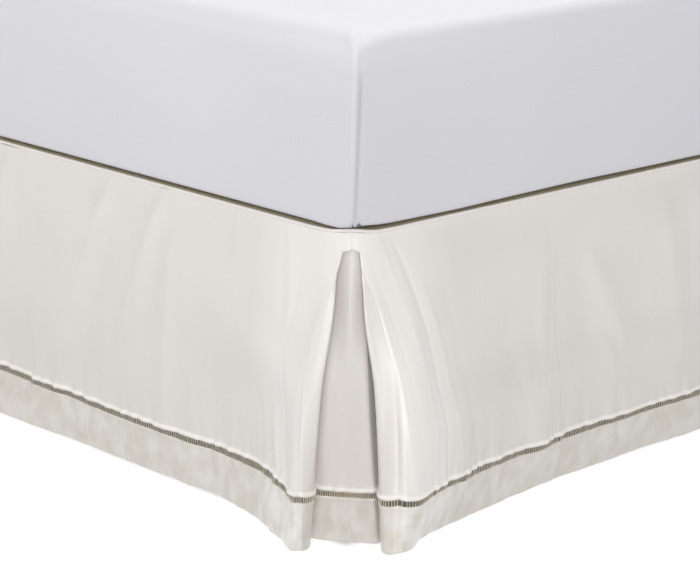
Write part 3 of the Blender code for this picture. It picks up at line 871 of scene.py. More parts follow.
def hang(places, from_corner, rows, line, lift):
    """Points of a hanging cloth by row and column, as (along, out, height).

    Each column keeps its own length down the drop, so cloth that stands out hangs a little
    higher.
    """
    down = rows["down"][:, None]
    share = down / CLOTH_HEIGHT
    along, out = line(places[None, :], share)
    run_along = np.gradient(along, places, axis=1)
    run_out = np.gradient(out, places, axis=1)
    length = np.hypot(run_along, run_out)
    raised = lift(places[None, :], down) + rows["proud"][:, None]
    along, out = along - run_out / length * raised, out + run_along / length * raised
    step = np.diff(rows["down"])[:, None]
    sideways = np.hypot(np.diff(along, axis=0), np.diff(out, axis=0)) * SLANT_SHARE
    fall = np.sqrt(np.maximum(step**2 - sideways**2, (LEAST_FALL * step) ** 2))
    height = CLOTH_TOP - np.vstack([np.zeros((1, len(places))), np.cumsum(fall, axis=0)])
    height = height + corner_rise(from_corner)[None, :] * (1 - smoothstep(share / CORNER_RISE["deep"]))
    return np.stack([along, out, height], axis=2)


def unit(vectors):
    return vectors / np.maximum(np.linalg.norm(vectors, axis=-1, keepdims=True), 1e-12)


def mesh_of(name, vertices, faces):
    mesh = bpy.data.meshes.new(name)
    mesh.from_pydata(vertices.tolist(), [], faces)
    return mesh


def lay_flat(mesh, places):
    """Gives each vertex its place on the cloth laid flat."""
    layer = mesh.uv_layers.new(name="Cloth")
    corners = np.zeros(len(mesh.loops), dtype=np.int64)
    mesh.loops.foreach_get("vertex_index", corners)
    layer.data.foreach_set("uv", places[corners].ravel())


def strip_mesh(name, points, rows, places):
    """Closed sheet round the middle surface through the points, with turned edges."""
    across = np.gradient(points, axis=1)
    downwards = unit(np.gradient(points, axis=0))
    normal = unit(np.cross(across, downwards))
    half = rows["thick"][:, None, None] / 2
    front, back = points + normal * half, points - normal * half

    def turned_edge(row, direction):
        angles = [math.pi * i / 4 for i in (1, 2, 3)]
        return [
            points[row]
            + normal[row] * half[row] * math.cos(angle)
            + direction * half[row] * math.sin(angle)
            for angle in angles
        ]

    rings = [*front, *turned_edge(-1, downwards[-1])]
    rings += [*back[::-1], *turned_edge(0, -downwards[0])[::-1]]
    downs = [*rows["down"], *[rows["down"][-1]] * 3, *rows["down"][::-1], *[rows["down"][0]] * 3]
    count, columns = len(rings), len(places)
    vertices = np.stack(rings).reshape(-1, 3)
    faces = []
    for i in range(count):
        j = (i + 1) % count
        faces += [
            (i * columns + k, j * columns + k, j * columns + k + 1, i * columns + k + 1)
            for k in range(columns - 1)
        ]
    length = len(front)
    for end in (0, columns - 1):
        lower = [(length - 1 + i) * columns + end for i in range(5)]
        upper = [((2 * length + 2 + i) % count) * columns + end for i in range(5)]
        faces += [lower, upper]
        for i in range(length - 1):
            j = 2 * length + 2 - i
            faces.append([row * columns + end for row in (i, i + 1, j - 1, j)])
    mesh = mesh_of(name, vertices, faces)
    lay_flat(mesh, np.array([(place, down) for down in downs for place in places]))
    return mesh


def finished_mesh(mesh):
    """Turns every face of a closed mesh outwards and shades it smooth."""
    shape = bmesh.new()
    shape.from_mesh(mesh)
    bmesh.ops.recalc_face_normals(shape, faces=shape.faces)
    shape.to_mesh(mesh)
    shape.free()
    mesh.shade_smooth()
    mesh.set_sharp_from_angle(angle=math.radians(SHARP_FOLD))
    return mesh


def piece_from(name, mesh, material):
    mesh.materials.clear()
    mesh.materials.append(material)
    made = bpy.data.objects.new(name, mesh)
    bpy.context.scene.collection.objects.link(made)
    return made


def joined(name, meshes, material):
    """One piece from several meshes."""
    parts = [piece_from(f"{name}_{i}", mesh, material) for i, mesh in enumerate(meshes)]
    bpy.ops.object.select_all(action="DESELECT")
    for part in parts:
        part.select_set(True)
    bpy.context.view_layer.objects.active = parts[0]
    bpy.ops.object.join()
    made = parts[0]
    made.name = name
    made.data.name = name
    finished_mesh(made.data)
    return made


def at_places(points, row, places, wanted):
    return np.stack([np.interp(wanted, places, points[row, :, i]) for i in range(3)], axis=1)


def bars_mesh(name, points, places, upper_rows, seed):
    """Bars of the hemstitching, from the cloth's edge down to the hem band."""
    chance = random.Random(seed)
    wanted = np.arange(places[0] + BAR_PITCH, places[-1] - BAR_PITCH / 2, BAR_PITCH)
    wanted = wanted + np.array([chance.uniform(-BAR_UNEVEN, BAR_UNEVEN) for _ in wanted])
    lean = np.array([chance.uniform(-BAR_LEAN, BAR_LEAN) for _ in wanted])
    top = at_places(points, upper_rows - 1, places, wanted)
    foot = at_places(points, upper_rows, places, wanted + lean)
    beside = at_places(points, upper_rows - 1, places, wanted + BESIDE_BAR)
    across = unit(beside - top)
    fall = unit(foot - top)
    outward = unit(np.cross(across, fall))
    top, foot = top - fall * BAR_TUCK, foot + fall * BAR_TUCK
    vertices, faces = [], []
    for ring in rows_of(BAR_RINGS, BAR_COLUMNS):
        middle = top + (foot - top) * ring["share"]
        for i in range(BAR_SIDES):
            angle = math.tau * i / BAR_SIDES
            vertices.append(
                middle
                + across * ring["half_width"] * math.cos(angle)
                + outward * ring["half_depth"] * math.sin(angle)
            )
    each = len(BAR_RINGS) * BAR_SIDES
    for bar in range(len(wanted)):
        first = bar * each
        faces.append([first + i for i in range(BAR_SIDES)])
        faces.append([first + each - 1 - i for i in range(BAR_SIDES)])
        for ring in range(len(BAR_RINGS) - 1):
            for i in range(BAR_SIDES):
                a, b = first + ring * BAR_SIDES + i, first + ring * BAR_SIDES + (i + 1) % BAR_SIDES
                faces.append((a, a + BAR_SIDES, b + BAR_SIDES, b))
    return mesh_of(name, np.stack(vertices, axis=1).reshape(-1, 3), faces)


name_of_node = {
    "foot_drop": "drop_foot",
    "right_drop": "drop_right",
    "left_drop": "drop_left",
    "right_corner_piece": "pleat_right",
    "left_corner_piece": "pleat_left",
}


def cloth_pieces(name, places, from_corner, line, lift, to_world, materials, seed, finish="cloth"):
    """A drop or corner piece with its hemstitching, hung from the deck."""
    upper, band = strip_rows()
    rows = {key: np.concatenate([upper[key], band[key]]) for key in upper}
    hung = hang(places, from_corner, rows, line, lift)
    points = np.stack(to_world(hung[..., 0], hung[..., 1], hung[..., 2]), axis=2)
    split = len(upper["down"])
    cloth = joined(
        name,
        [
            strip_mesh(name + "_cloth", points[:split], upper, places),
            strip_mesh(name + "_band", points[split:], band, places),
        ],
        materials[finish],
    )
    bars = piece_from(
        name + "_hemstitch",
        finished_mesh(bars_mesh(name + "_hemstitch", points, places, split, seed)),
        materials["thread"],
    )
    for piece in (cloth, bars):
        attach(piece, "root")
    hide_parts(name_of_node[name])


def drop_lift(folds, puckers, ripples):
    def lift(place, down):
        above = CLOTH_HEIGHT - down
        raised = fold_lift(folds, place, down / CLOTH_HEIGHT)
        raised = raised + pucker_lift(puckers, place, above)
        in_band = above < BAND_EDGE[0][0] + BAND_SLACK
        return raised + np.where(in_band, ripple_lift(ripples, place, above), 0.0)

    return lift


def drop(name, length, far_pleat, line, to_world, folds, puckers, materials, seed):
    """Drop with a pleat at its near end, and at its far end too where far_pleat says so."""
    last = length - PUCKERS_FROM if far_pleat else length
    puckers = puckers + scattered(seed, PUCKERS_FROM, last, SCATTERED_PUCKERS)
    ripples = scattered(seed + 1, 0.0, length, SCATTERED_RIPPLES)
    face = drop_lift(folds, puckers, ripples)

    def lift(place, down):
        from_edge = np.minimum(place, length - place) if far_pleat else place
        return face(place, down) * smoothstep(from_edge / EDGE_FLAT)

    places = drop_places(length, far_pleat)
    from_edge = np.abs(places)
    if far_pleat:
        from_edge = np.minimum(from_edge, np.abs(length - places))
    from_corner = FOLD_PLACE + from_edge
    cloth_pieces(name, places, from_corner, line, lift, to_world, materials, seed)


def side_drop(name, side, folds, puckers, materials, seed):
    """Long side's drop. side is +1 for the right of the bed and -1 for the left."""

    def line(place, share):
        return pleat_line(SIDE_PLEAT, SIDE_BASE, place, share)

    def to_world(along, out, height):
        return side * (BED_WIDTH / 2 + out), FOOT_Y + along, height

    length = BED_LENGTH - FOLD_PLACE - CORNER_RADIUS + CORNER_RADIUS * math.pi / 4
    drop(name, length, False, line, to_world, folds, puckers, materials, seed)


def foot_drop(name, folds, puckers, materials, seed):
    """Foot's drop, with a pleat at both ends. Its cloth is measured from the right corner."""
    length = BED_WIDTH - 2 * (FOLD_PLACE + CORNER_RADIUS - CORNER_RADIUS * math.pi / 4)

    def line(place, share):
        near = pleat_line(FOOT_PLEAT, FACE_BASE, place, share)
        far = pleat_line(FOOT_PLEAT, FACE_BASE, length - place, share)
        first = place <= length / 2
        return np.where(first, near[0], BED_WIDTH - far[0]), np.where(first, near[1], far[1])

    def to_world(along, out, height):
        return BED_WIDTH / 2 - along, FOOT_Y - out, height

    drop(name, length, True, line, to_world, folds, puckers, materials, seed)


def corner_piece(name, side, materials, seed):
    """Piece that closes a foot corner's pleat from behind."""
    rows = columns_of(CORNER_PIECE, CORNER_COLUMNS)
    half = rows["cloth"][-1]
    inset = CLOTH / 2 + 2 * LAYER
    puckers = scattered(seed, -half, half, SCATTERED_PUCKERS)
    ripples = scattered(seed + 1, -half, half, SCATTERED_RIPPLES)
    face = drop_lift([], puckers, ripples)

    def line(place, share):
        along, out = rim_point(np.abs(place), inset)
        top_side = np.where(place > 0, out, -along)
        top_foot = np.where(place > 0, -along, out)
        values = {name: smooth_curve(rows["cloth"], rows[name], place) for name in CORNER_COLUMNS}
        off_side = down_the_drop([top_side] + [values[height + "_side"] for height in HEIGHTS], share)
        off_foot = down_the_drop([top_foot] + [values[height + "_foot"] for height in HEIGHTS], share)
        return off_side, off_foot

    def lift(place, down):
        seam = smoothstep((half - np.abs(place)) / CORNER_PIECE_FLAT)
        return -CORNER_PIECE_CREASES * face(place, down) * seam

    def to_world(off_side, off_foot, height):
        return side * (BED_WIDTH / 2 + off_side), FOOT_Y - off_foot, height

    places = np.linspace(-half, half, CORNER_PIECE_COLUMNS)
    cloth_pieces(
        name, places, np.abs(places), line, lift, to_world, materials, seed, "crosswise"
    )


# Slabs of the bed's plan

LEAST_RADIUS = 0.0004
SAME_PLACE = 0.00001


class Plan:
    """The bed's rounded plan as stations, anticlockwise from the right end of the head's corner."""

    def __init__(self, corner_radius, corner_shares, side_step, beside_corner=()):
        self.radius = corner_radius
        arc = corner_radius * math.pi / 2
        signs = ((1, 1), (-1, 1), (-1, -1), (1, -1))
        sides = (BED_WIDTH - 2 * corner_radius, BED_LENGTH - 2 * corner_radius)
        rows = []
        for quarter in range(4):
            here, following = signs[quarter], signs[(quarter + 1) % 4]
            long_side_next = quarter % 2
            shares = corner_shares if long_side_next else [1 - s for s in reversed(corner_shares)]
            towards = 1 if long_side_next else -1
            for share in shares:
                rows.append((*here, *here, quarter + share, 0.0, towards * (share - 0.5) * arc))
            side = sides[long_side_next]
            count = math.ceil(side / side_step)
            close = [place / side for place in beside_corner]
            runs = [i / count for i in range(1, count)] + close + [1 - run for run in close]
            for run in sorted(runs):
                reach = arc / 2 + min(run, 1 - run) * side
                rows.append((*here, *following, quarter + 1.0, run, towards * reach))
        table = columns_of(rows, ("x", "y", "next_x", "next_y", "turn", "run", "place"))
        self.near = np.stack([table["x"], table["y"]], axis=1)
        self.far = np.stack([table["next_x"], table["next_y"]], axis=1)
        self.run = table["run"][:, None]
        turn = table["turn"] * math.pi / 2
        self.normal = np.stack([np.cos(turn), np.sin(turn)], axis=1)
        self.place = table["place"]

    def ring(self, inset, height, corner=None):
        """Points round the plan, moved in. inset and height are numbers or arrays by station."""
        inset = np.broadcast_to(inset, self.place.shape)[:, None]
        radius = np.maximum((self.radius if corner is None else corner) - inset, LEAST_RADIUS)
        half = np.array([[BED_WIDTH / 2, BED_LENGTH / 2]]) - inset - radius
        half = np.maximum(half, 0.0)
        middle = (self.near * (1 - self.run) + self.far * self.run) * half
        flat = middle + self.normal * radius + np.array([[0.0, MIDDLE_Y]])
        return np.column_stack([flat, np.broadcast_to(height, self.place.shape)])


def lofted(name, rings):
    """Closed solid through rings from its top middle down to its bottom middle."""
    count = len(rings[0])
    faces = []
    for i in range(len(rings) - 1):
        for k in range(count):
            j = (k + 1) % count
            faces.append((i * count + k, (i + 1) * count + k, (i + 1) * count + j, i * count + j))
    mesh = mesh_of(name, np.vstack(rings), faces)
    shape = bmesh.new()
    shape.from_mesh(mesh)
    bmesh.ops.remove_doubles(shape, verts=shape.verts, dist=SAME_PLACE)
    bmesh.ops.dissolve_degenerate(shape, edges=shape.edges, dist=SAME_PLACE)
    holes = [edge for edge in shape.edges if edge.is_boundary]
    if holes:
        bmesh.ops.holes_fill(shape, edges=holes, sides=0)
    shape.to_mesh(mesh)
    shape.free()
    return finished_mesh(mesh)


# Insets of the loops that close a slab towards its middle
INWARD = (0.10, 0.20, 0.32, 0.46, 0.60, 0.70, 0.762)

# The deck's rim: a roll round a cord, joined to the sheet. Each row has its inset and how far it
# stands over the sheet's top, or under the roll's middle as a share of the roll. The rim's own
# cloth reaches as far in as its cover.
RIM_WIDTH = 0.012
RIM_STEP = 0.0003
RIM_TOP = ((0.030, 0.0), (0.0060, 0.0), (0.0044, 0.0001), (0.0034, 0.0005))
RIM_UNDER = ((0.0, 0.8), (0.0004, 1.0))
RIM_SEAM = (0.0030, 0.0085)
RIM_SEAM_END = 0.0095
RIM_TURN = {"from": 0.35, "steps": 5, "top_inset": 0.0024}
RIM_FADE = 0.006
RIM_COVER = 0.004
CORNER_SHARES = 16
DECK_STEP = 0.030


def deck(materials):
    """Flat sheet under the mattress, with the rolled rim that the drops are sewn under."""
    plan = Plan(CORNER_RADIUS, [i / CORNER_SHARES for i in range(CORNER_SHARES + 1)], DECK_STEP)
    middle = SKIRT_TOP - RIM_HEIGHT / 2
    sheet_top, sheet_bottom = middle + DECK_SHEET / 2, middle - DECK_SHEET / 2
    roll = RIM_HEIGHT / 2
    profile = [(inset, sheet_top) for inset in reversed(INWARD)]
    profile += [(inset, sheet_top + above) for inset, above in RIM_TOP]
    profile.append((RIM_TURN["top_inset"], middle + roll * math.sin(math.pi * RIM_TURN["from"])))
    for i in range(1, RIM_TURN["steps"] + 1):
        angle = math.pi * (RIM_TURN["from"] - i * RIM_TURN["from"] / RIM_TURN["steps"])
        inset = roll - RIM_STEP - roll * math.cos(angle)
        profile.append((inset, middle + roll * math.sin(angle)))
    profile += [(inset - RIM_STEP, middle - roll * share) for inset, share in RIM_UNDER]
    profile += [(inset, middle - roll) for inset in RIM_SEAM] + [(RIM_SEAM_END, sheet_bottom)]
    profile += [(inset, sheet_bottom) for inset in INWARD]
    rings = []
    for inset, height in profile:
        ring = plan.ring(inset, height)
        foot_end = (ring[:, 1] < MIDDLE_Y) * smoothstep((RIM_WIDTH - inset) / RIM_FADE)
        ring[:, 2] += corner_rise(plan.place) * foot_end
        rings.append(ring)
    mesh = lofted("deck_cloth", rings)
    lay_flat(mesh, np.array([vertex.co.xy for vertex in mesh.vertices]))
    made = piece_from("deck_cloth", mesh, materials["rim"])
    made.data.materials.append(materials["deck"])
    inner = Vector((BED_WIDTH / 2 - CORNER_RADIUS, BED_LENGTH / 2 - CORNER_RADIUS))
    for face in made.data.polygons:
        past = Vector((abs(face.center.x), abs(face.center.y - MIDDLE_Y))) - inner
        reach = max(past) if min(past) < 0 else past.length
        face.material_index = 1 if reach < CORNER_RADIUS - RIM_COVER else 0
    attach(made, "root")
    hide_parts("deck")


# Mattress in its fitted sheet

# Groove along the corner seams. It fades out towards the foot, down to the share that is left.
SEAM_GROOVE = {"width": 0.0034, "depth": 0.0010, "fade": 0.012, "left": 0.4}
SEAM_STEPS = {"step": 0.0015, "count": 12}
UNDERCUT = 0.0053
BOTTOM_EDGE = 0.0060
TOP_CROWN = {"height": 0.0050, "from": 0.032, "reach": 0.45}
SIDE_FULLNESS = 0.0030
MATTRESS_STEP = 0.022

# Loops of the rounded top edge, of the side, and of the rounded bottom edge
ROLL_LOOPS = 12
SIDE_LOOPS = 22
BOTTOM_LOOPS = 6
TOP_LOOPS = (0.060, 0.044)

# Underside: inset, height over the deck, and share of the lower edge's lift
UNDERSIDE = ((0.010, UNDERCUT, 1.0), (0.016, 0.0020, 0.6), (0.026, 0.0, 0.0), (0.060, 0.0, 0.0))

# Stations round a corner, as shares of its turn: close together past its middle, at the seam
CORNER_STATIONS = (0.0, 0.08, 0.16, 0.24, 0.32, 0.40, 0.47, *(0.5 + i / 40 for i in range(20)), 1.0)

# How much higher the sheet's lower edge stands over the deck near a corner. "place" is measured
# round the bed's edge from the corner, positive along the long side.
LOWER_EDGE_COLUMNS = ("place", "width", "lift")
LOWER_EDGE = (
    (-0.028, 0.022, -0.0024),
    (0.0006, 0.0036, 0.0040),
    (0.0125, 0.0036, 0.0036),
    (0.0065, 0.0022, -0.0014),
    (0.0260, 0.0260, 0.0014),
    (0.180, 0.070, -0.0012),
    (0.420, 0.090, 0.0010),
)


def mattress(materials):
    """Firm mattress in its fitted sheet: flat sides, a crowned top and a seam up each corner."""
    beside_corner = [SEAM_STEPS["step"] * i for i in range(1, SEAM_STEPS["count"] + 1)]
    plan = Plan(MATTRESS_CORNER, CORNER_STATIONS, MATTRESS_STEP, beside_corner)
    place = plan.place
    bottom = SKIRT_TOP - RIM_HEIGHT / 2 + DECK_SHEET / 2 + GAP
    top = bottom + MATTRESS_THICKNESS
    edge_lift = np.full(place.shape, UNDERCUT)
    for row in rows_of(LOWER_EDGE, LOWER_EDGE_COLUMNS):
        edge_lift = edge_lift + row["lift"] * np.exp(-(((place - row["place"]) / row["width"]) ** 2))
    along_side = smoothstep((place - TOP_EDGE["turns_at"]) / TOP_EDGE["over"])
    roll = TOP_EDGE["foot"] + (TOP_EDGE["side"] - TOP_EDGE["foot"]) * along_side
    profile = [(inset, top, 0.0, MATTRESS_TOP_CORNER) for inset in (*reversed(INWARD), *TOP_LOOPS)]
    for i in range(ROLL_LOOPS + 1):
        angle = math.pi / 2 * (1 - i / ROLL_LOOPS)
        rounder = (MATTRESS_TOP_CORNER - MATTRESS_CORNER) * smoothstep(1 - i / ROLL_LOOPS)
        inset, height = roll * (1 - math.cos(angle)), top - roll * (1 - math.sin(angle))
        profile.append((inset, height, 0.0, MATTRESS_CORNER + rounder))
    side_foot = bottom + UNDERCUT + BOTTOM_EDGE
    for i in range(1, SIDE_LOOPS + 1):
        height = top - roll + (side_foot - top + roll) * i / SIDE_LOOPS
        profile.append((0.0, height, (i / SIDE_LOOPS) ** 6, MATTRESS_CORNER))
    for i in range(1, BOTTOM_LOOPS + 1):
        angle = math.pi / 2 * i / BOTTOM_LOOPS
        inset, height = BOTTOM_EDGE * (1 - math.cos(angle)), side_foot - BOTTOM_EDGE * math.sin(angle)
        profile.append((inset, height, 1.0, MATTRESS_CORNER))
    under = UNDERSIDE + tuple((inset, 0.0, 0.0) for inset in INWARD)
    profile += [(inset, bottom + above, lifted, MATTRESS_CORNER) for inset, above, lifted in under]
    seam = columns_of(SEAM_LINE, SEAM_COLUMNS)
    rings = []
    for inset, height, lifted, corner in profile:
        above = np.zeros(place.shape) + height - bottom
        share = np.clip(above / MATTRESS_THICKNESS, 0.0, 1.0)
        line = np.interp(above, seam["height"], seam["place"])
        shown = smoothstep((MATTRESS_THICKNESS - SEAM_START - above) / SEAM_START)
        shown = shown * smoothstep(above / SEAM_GROOVE["fade"] + SEAM_GROOVE["left"])
        beyond = place - line
        groove = SEAM_GROOVE["depth"] * np.exp(-((beyond / SEAM_GROOVE["width"]) ** 2))
        full = SIDE_FULLNESS * np.sin(math.pi * share) ** 0.8 * (inset < roll)
        crown = smoothstep((inset - TOP_CROWN["from"]) / TOP_CROWN["reach"])
        crown = TOP_CROWN["height"] * crown * (above > MATTRESS_THICKNESS / 2)
        moved = inset + groove * shown - full
        ring = plan.ring(moved, height + crown + (edge_lift - UNDERCUT) * lifted, corner)
        ring[:, 2] += corner_rise(place) * lifted * (ring[:, 1] < MIDDLE_Y)
        rings.append(ring)
    made = piece_from("mattress_in_sheet", lofted("mattress_in_sheet", rings), materials["sheet"])
    made.data.materials.append(materials["linen"])
    for face in made.data.polygons:
        under = face.normal.z < -0.3 and face.center.z < bottom + UNDERCUT * 1.5
        past_side = abs(face.center.x) - BED_WIDTH / 2
        past_end = abs(face.center.y - MIDDLE_Y) - BED_LENGTH / 2
        face.material_index = 1 if under and max(past_side, past_end) < -SHEET_UNDER else 0
    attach(made, "root")
    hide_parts("mattress")


# Bed base and legs, shaped by hand from primitives

BASE_CORNER = 0.0385
BASE_EDGE = 0.006
PIPING = 0.0050
PIPING_PROUD = 0.0022
PIPING_PLACE = 0.013
PIPING_ROUND = PIPING * 0.42
PIPING_REACH = PIPING * 0.51
SQUARE_TURN = 1.2
LEG_TOP_RADIUS = 0.032
LEG_FOOT_RADIUS = 0.024
LEG_SIDES = 48
LEG_EDGE = 0.0020
PAD_HEIGHT = 0.0035
PAD_INSET = 0.0030
SAME_HEIGHT = 0.0001


def begin(add, **settings):
    """Adds a primitive and opens it for shaping."""
    bpy.ops.object.select_all(action="DESELECT")
    add(**settings)
    bpy.ops.object.transform_apply(location=True, rotation=True, scale=True)
    bpy.ops.object.mode_set(mode="EDIT")
    return bpy.context.object


def pick(piece, kind, wanted):
    """Selects the vertices, edges or faces that are wanted, and nothing else."""
    bpy.ops.mesh.select_mode(type={"verts": "VERT", "edges": "EDGE", "faces": "FACE"}[kind])
    bpy.ops.mesh.select_all(action="DESELECT")
    shape = bmesh.from_edit_mesh(piece.data)
    for part in getattr(shape, kind):
        part.select = wanted(part)
    shape.select_flush_mode()
    bmesh.update_edit_mesh(piece.data)


def close_up(piece, name, material):
    """Ends the shaping, with rounded shading and the piece's finish."""
    bpy.ops.object.mode_set(mode="OBJECT")
    piece.name = name
    piece.data.name = name
    bpy.ops.object.shade_smooth_by_angle(angle=math.radians(SHARP_EDGE))
    piece.data.materials.clear()
    piece.data.materials.append(material)
    return piece


def round_edges_at(piece, level, size, segments):
    """Rounds the edges of a flat end that lies at a height."""
    pick(piece, "edges", lambda edge: all(abs(v.co.z - level) < SAME_HEIGHT for v in edge.verts))
    bpy.ops.mesh.bevel(offset=size, segments=segments, affect="EDGES")


def upright(edge):
    a, b = (vertex.co for vertex in edge.verts)
    return abs(a.z - b.z) > 0.05 and (a.xy - b.xy).length < 0.001


def bed_base(materials):
    """Upholstered base with rounded corners and a line of piping near its top and bottom."""
    low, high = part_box("bed_base")
    size = high - low
    piece = begin(bpy.ops.mesh.primitive_cube_add, size=1, location=(low + high) / 2, scale=size)
    pick(piece, "edges", upright)
    bpy.ops.mesh.bevel(offset=BASE_CORNER, segments=12, affect="EDGES")
    for level in (low.z, high.z):
        round_edges_at(piece, level, BASE_EDGE, 4)
    for level in (low.z + PIPING_PLACE, high.z - PIPING_PLACE):
        for side in (-0.5, 0.5):
            bpy.ops.mesh.select_all(action="SELECT")
            bpy.ops.mesh.bisect(plane_co=(0, 0, level + side * PIPING), plane_no=(0, 0, 1))

        def on_piping(face):
            close = all(abs(v.co.z - level) < PIPING_REACH for v in face.verts)
            return close and abs(face.normal.z) < 0.1

        pick(piece, "faces", on_piping)
        bpy.ops.mesh.extrude_region_shrink_fatten(
            TRANSFORM_OT_shrink_fatten={"value": PIPING_PROUD, "use_even_offset": True}
        )
        pick(
            piece,
            "edges",
            lambda edge: abs(edge.verts[0].co.z - edge.verts[1].co.z) < SAME_HEIGHT
            and abs(abs(edge.verts[0].co.z - level) - PIPING / 2) < SAME_HEIGHT
            and edge.calc_face_angle(0) > SQUARE_TURN
            and any(abs(face.normal.z) < 0.1 and on_piping(face) for face in edge.link_faces)
            and edge.is_convex,
        )
        bpy.ops.mesh.bevel(offset=PIPING_ROUND, segments=4, affect="EDGES")
    made = close_up(piece, "upholstered_base", materials["linen"])
    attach(made, "root")
    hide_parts("bed_base")


def leg(node, materials):
    """Tapered leg on a felt pad."""
    low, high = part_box(node)
    height = high.z - low.z
    middle = (low + high) / 2
    piece = begin(
        bpy.ops.mesh.primitive_cylinder_add,
        vertices=LEG_SIDES,
        radius=LEG_TOP_RADIUS,
        depth=height - PAD_HEIGHT,
        location=(middle.x, middle.y, (high.z + PAD_HEIGHT) / 2),
    )
    pick(piece, "verts", lambda vertex: vertex.co.z < middle.z)
    share = LEG_FOOT_RADIUS / LEG_TOP_RADIUS
    bpy.ops.transform.resize(value=(share, share, 1), center_override=(middle.x, middle.y, PAD_HEIGHT))
    for level in (PAD_HEIGHT, high.z):
        round_edges_at(piece, level, LEG_EDGE, 3)
    pick(piece, "faces", lambda face: face.normal.z < -0.99)
    bpy.ops.mesh.inset(thickness=PAD_INSET)
    bpy.ops.mesh.extrude_region_move(TRANSFORM_OT_translate={"value": (0, 0, -PAD_HEIGHT)})
    made = close_up(piece, "beech_" + node, materials["beech"])
    made.data.materials.append(materials["felt"])
    for face in made.data.polygons:
        highest = max(made.data.vertices[i].co.z for i in face.vertices)
        below = face.normal.z < -0.5 or face.center.z < PAD_HEIGHT - SAME_HEIGHT
        if below and highest < PAD_HEIGHT + SAME_HEIGHT:
            face.material_index = 1
    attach(made, "root")
    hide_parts(node)


# Floor, light and camera

# The floor glows evenly up to the bed, and its glow stops under the bed: painted shade beneath it
FLOOR_GLOW = 0.80
FLOOR_SHADE = 0.030
FLOOR_SIZE = 60
FLOOR_BELOW = 0.0005
FLOOR_GREY = (0.70, 0.70, 0.70)
BLACK = (0.0, 0.0, 0.0)
WHITE = (1.0, 1.0, 1.0)


def floor():
    bpy.ops.object.select_all(action="DESELECT")
    bpy.ops.mesh.primitive_plane_add(size=FLOOR_SIZE, location=(0, 0, -FLOOR_BELOW))
    ground = bpy.context.object
    ground.name = "studio_floor"
    finish = Finish("studio_floor", Roughness=0.9, Specular_IOR_Level=0.1)
    finish.surface(rgba(FLOOR_GREY))
    finish.shader.inputs["Emission Strength"].default_value = FLOOR_GLOW
    where = finish.place()
    x, y, _ = finish.apart(where)
    past_side = x.size() - BED_WIDTH / 2
    past_end = (y - MIDDLE_Y).size() - BED_LENGTH / 2
    # Painted shade: the glow fades out beneath the bed
    lit = past_side.worked("MAXIMUM", past_side, past_end).ramp(-FLOOR_SHADE, 0.0)
    glow = finish.blend(lit, rgba(BLACK), rgba(WHITE))
    finish.feed(finish.shader.inputs["Emission Color"], glow)
    ground.data.materials.append(finish.material)
    ground.visible_diffuse = False


SKY_STRENGTH = 0.55
LAMP_COLUMNS = ("name", "azimuth", "elevation", "distance", "size", "strength")
LAMPS = (
    ("key", 48.0, 17.0, 4.5, 2.4, 0.41),
    ("high", 45.0, 55.0, 4.5, 2.4, 0.08),
    ("left", -40.0, 25.0, 4.5, 2.4, 0.13),
    ("back", 200.0, 45.0, 7.0, 4.0, 0.48),
)


def sky():
    world = bpy.data.worlds.new("studio")
    world.use_nodes = True
    background = world.node_tree.nodes["Background"]
    background.inputs["Color"].default_value = rgba(WHITE)
    background.inputs["Strength"].default_value = SKY_STRENGTH
    bpy.context.scene.world = world


def lamps():
    """Soft boxes round the bed. Azimuth 0 is in front of the foot, and 90 to the right.

    A strength of 1 makes a white sheet that faces the lamp at the corner look fully white.
    """
    aim = Vector((BED_WIDTH / 2, FOOT_Y, 0.3))
    for row in rows_of(LAMPS, LAMP_COLUMNS):
        light = bpy.data.lights.new(row["name"], "AREA")
        light.shape = "DISK"
        light.size = row["size"]
        light.energy = row["strength"] * (math.pi * row["distance"]) ** 2
        lamp = bpy.data.objects.new(row["name"], light)
        bpy.context.scene.collection.objects.link(lamp)
        round_it, up = math.radians(row["azimuth"]), math.radians(row["elevation"])
        level = math.cos(up)
        towards = Vector((math.sin(round_it) * level, -math.cos(round_it) * level, math.sin(up)))
        lamp.location = aim + towards * row["distance"]
        lamp.rotation_euler = towards.to_track_quat("Z", "Y").to_euler()


CAMERA_FROM_CORNER = (2.106, -2.0715, 1.148)
CAMERA_YAW = -45.49
CAMERA_PITCH = 15.50
CAMERA_ROLL = 1.16
CAMERA_LENS = 132.55


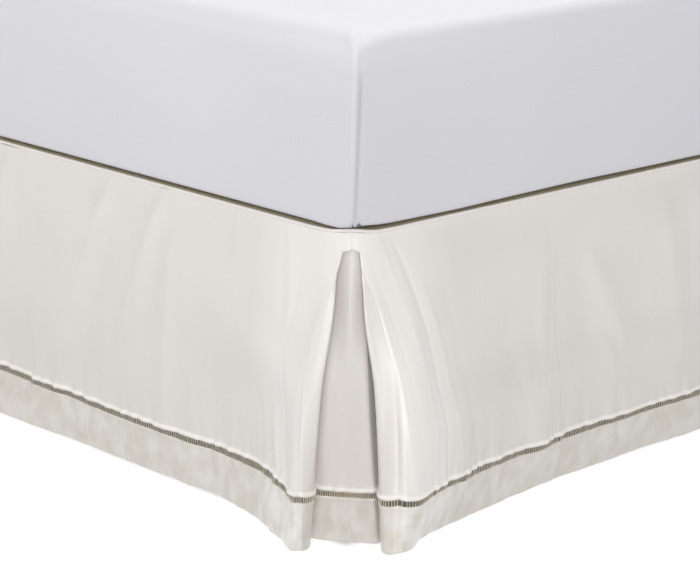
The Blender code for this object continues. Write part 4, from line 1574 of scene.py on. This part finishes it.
def camera():
    """Looks down at the right corner of the bed's foot."""
    made = bpy.data.cameras.new("camera")
    made.sensor_width = 36.0
    made.lens = CAMERA_LENS
    stand = bpy.data.objects.new("camera", made)
    bpy.context.scene.collection.objects.link(stand)
    yaw, pitch, roll = (math.radians(angle) for angle in (CAMERA_YAW, CAMERA_PITCH, CAMERA_ROLL))
    ahead = Vector((math.sin(yaw) * math.cos(pitch), math.cos(yaw) * math.cos(pitch), -math.sin(pitch)))
    level = Vector((math.cos(yaw), -math.sin(yaw), 0.0))
    right = level * math.cos(roll) + level.cross(ahead) * math.sin(roll)
    upwards = right.cross(ahead)
    place = Vector((BED_WIDTH / 2, FOOT_Y, 0.0)) + Vector(CAMERA_FROM_CORNER)
    stand.matrix_world = Matrix(
        [(right[i], upwards[i], -ahead[i], place[i]) for i in range(3)] + [(0.0, 0.0, 0.0, 1.0)]
    )
    bpy.context.scene.camera = stand


# Each piece's creases fall by their own seed
SEEDS = {
    "foot_drop": 11,
    "right_drop": 23,
    "left_drop": 37,
    "right_corner_piece": 41,
    "left_corner_piece": 53,
}


def main():
    materials = {
        "cloth": sateen("sateen", highlit_edges=True),
        # Painted shade on the corner pieces inside the pleats, painted highlight on the rim
        "crosswise": sateen("sateen_crosswise", RECESS_SHADE_TONE, RECESS_SHADE_SHARE),
        "rim": sateen("sateen_rim", RIM_HIGHLIGHT_TONE, RIM_SHADE, hemmed=False),
        "thread": thread_finish(),
        "sheet": sheet_cotton(),
        "deck": deck_cotton(),
        "linen": base_linen(),
        "beech": beech(),
        "felt": felt(),
    }
    right_folds = rows_of(SIDE_FOLDS, FOLD_COLUMNS)
    left_folds = [
        {
            **fold,
            "top": fold["top"] + FAR_SIDE_SHIFT,
            "hem": fold["hem"] + FAR_SIDE_SHIFT,
            "height": fold["height"] * FAR_SIDE_SHARE,
        }
        for fold in right_folds
    ]
    foot_folds = rows_of(FOOT_FOLDS, FOLD_COLUMNS)
    foot_puckers = rows_of(FOOT_PUCKERS, PUCKER_COLUMNS)
    side_puckers = rows_of(SIDE_PUCKERS, PUCKER_COLUMNS)
    foot_drop("foot_drop", foot_folds, foot_puckers, materials, SEEDS["foot_drop"])
    side_drop("right_drop", 1, right_folds, side_puckers, materials, SEEDS["right_drop"])
    side_drop("left_drop", -1, left_folds, [], materials, SEEDS["left_drop"])
    for side, name in ((1, "right_corner_piece"), (-1, "left_corner_piece")):
        corner_piece(name, side, materials, SEEDS[name])
    deck(materials)
    mattress(materials)
    bed_base(materials)
    for node in sorted(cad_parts):
        if node.startswith("leg_"):
            leg(node, materials)
    floor()
    sky()
    lamps()
    camera()
    bpy.context.scene.view_settings.view_transform = "Standard"


main()
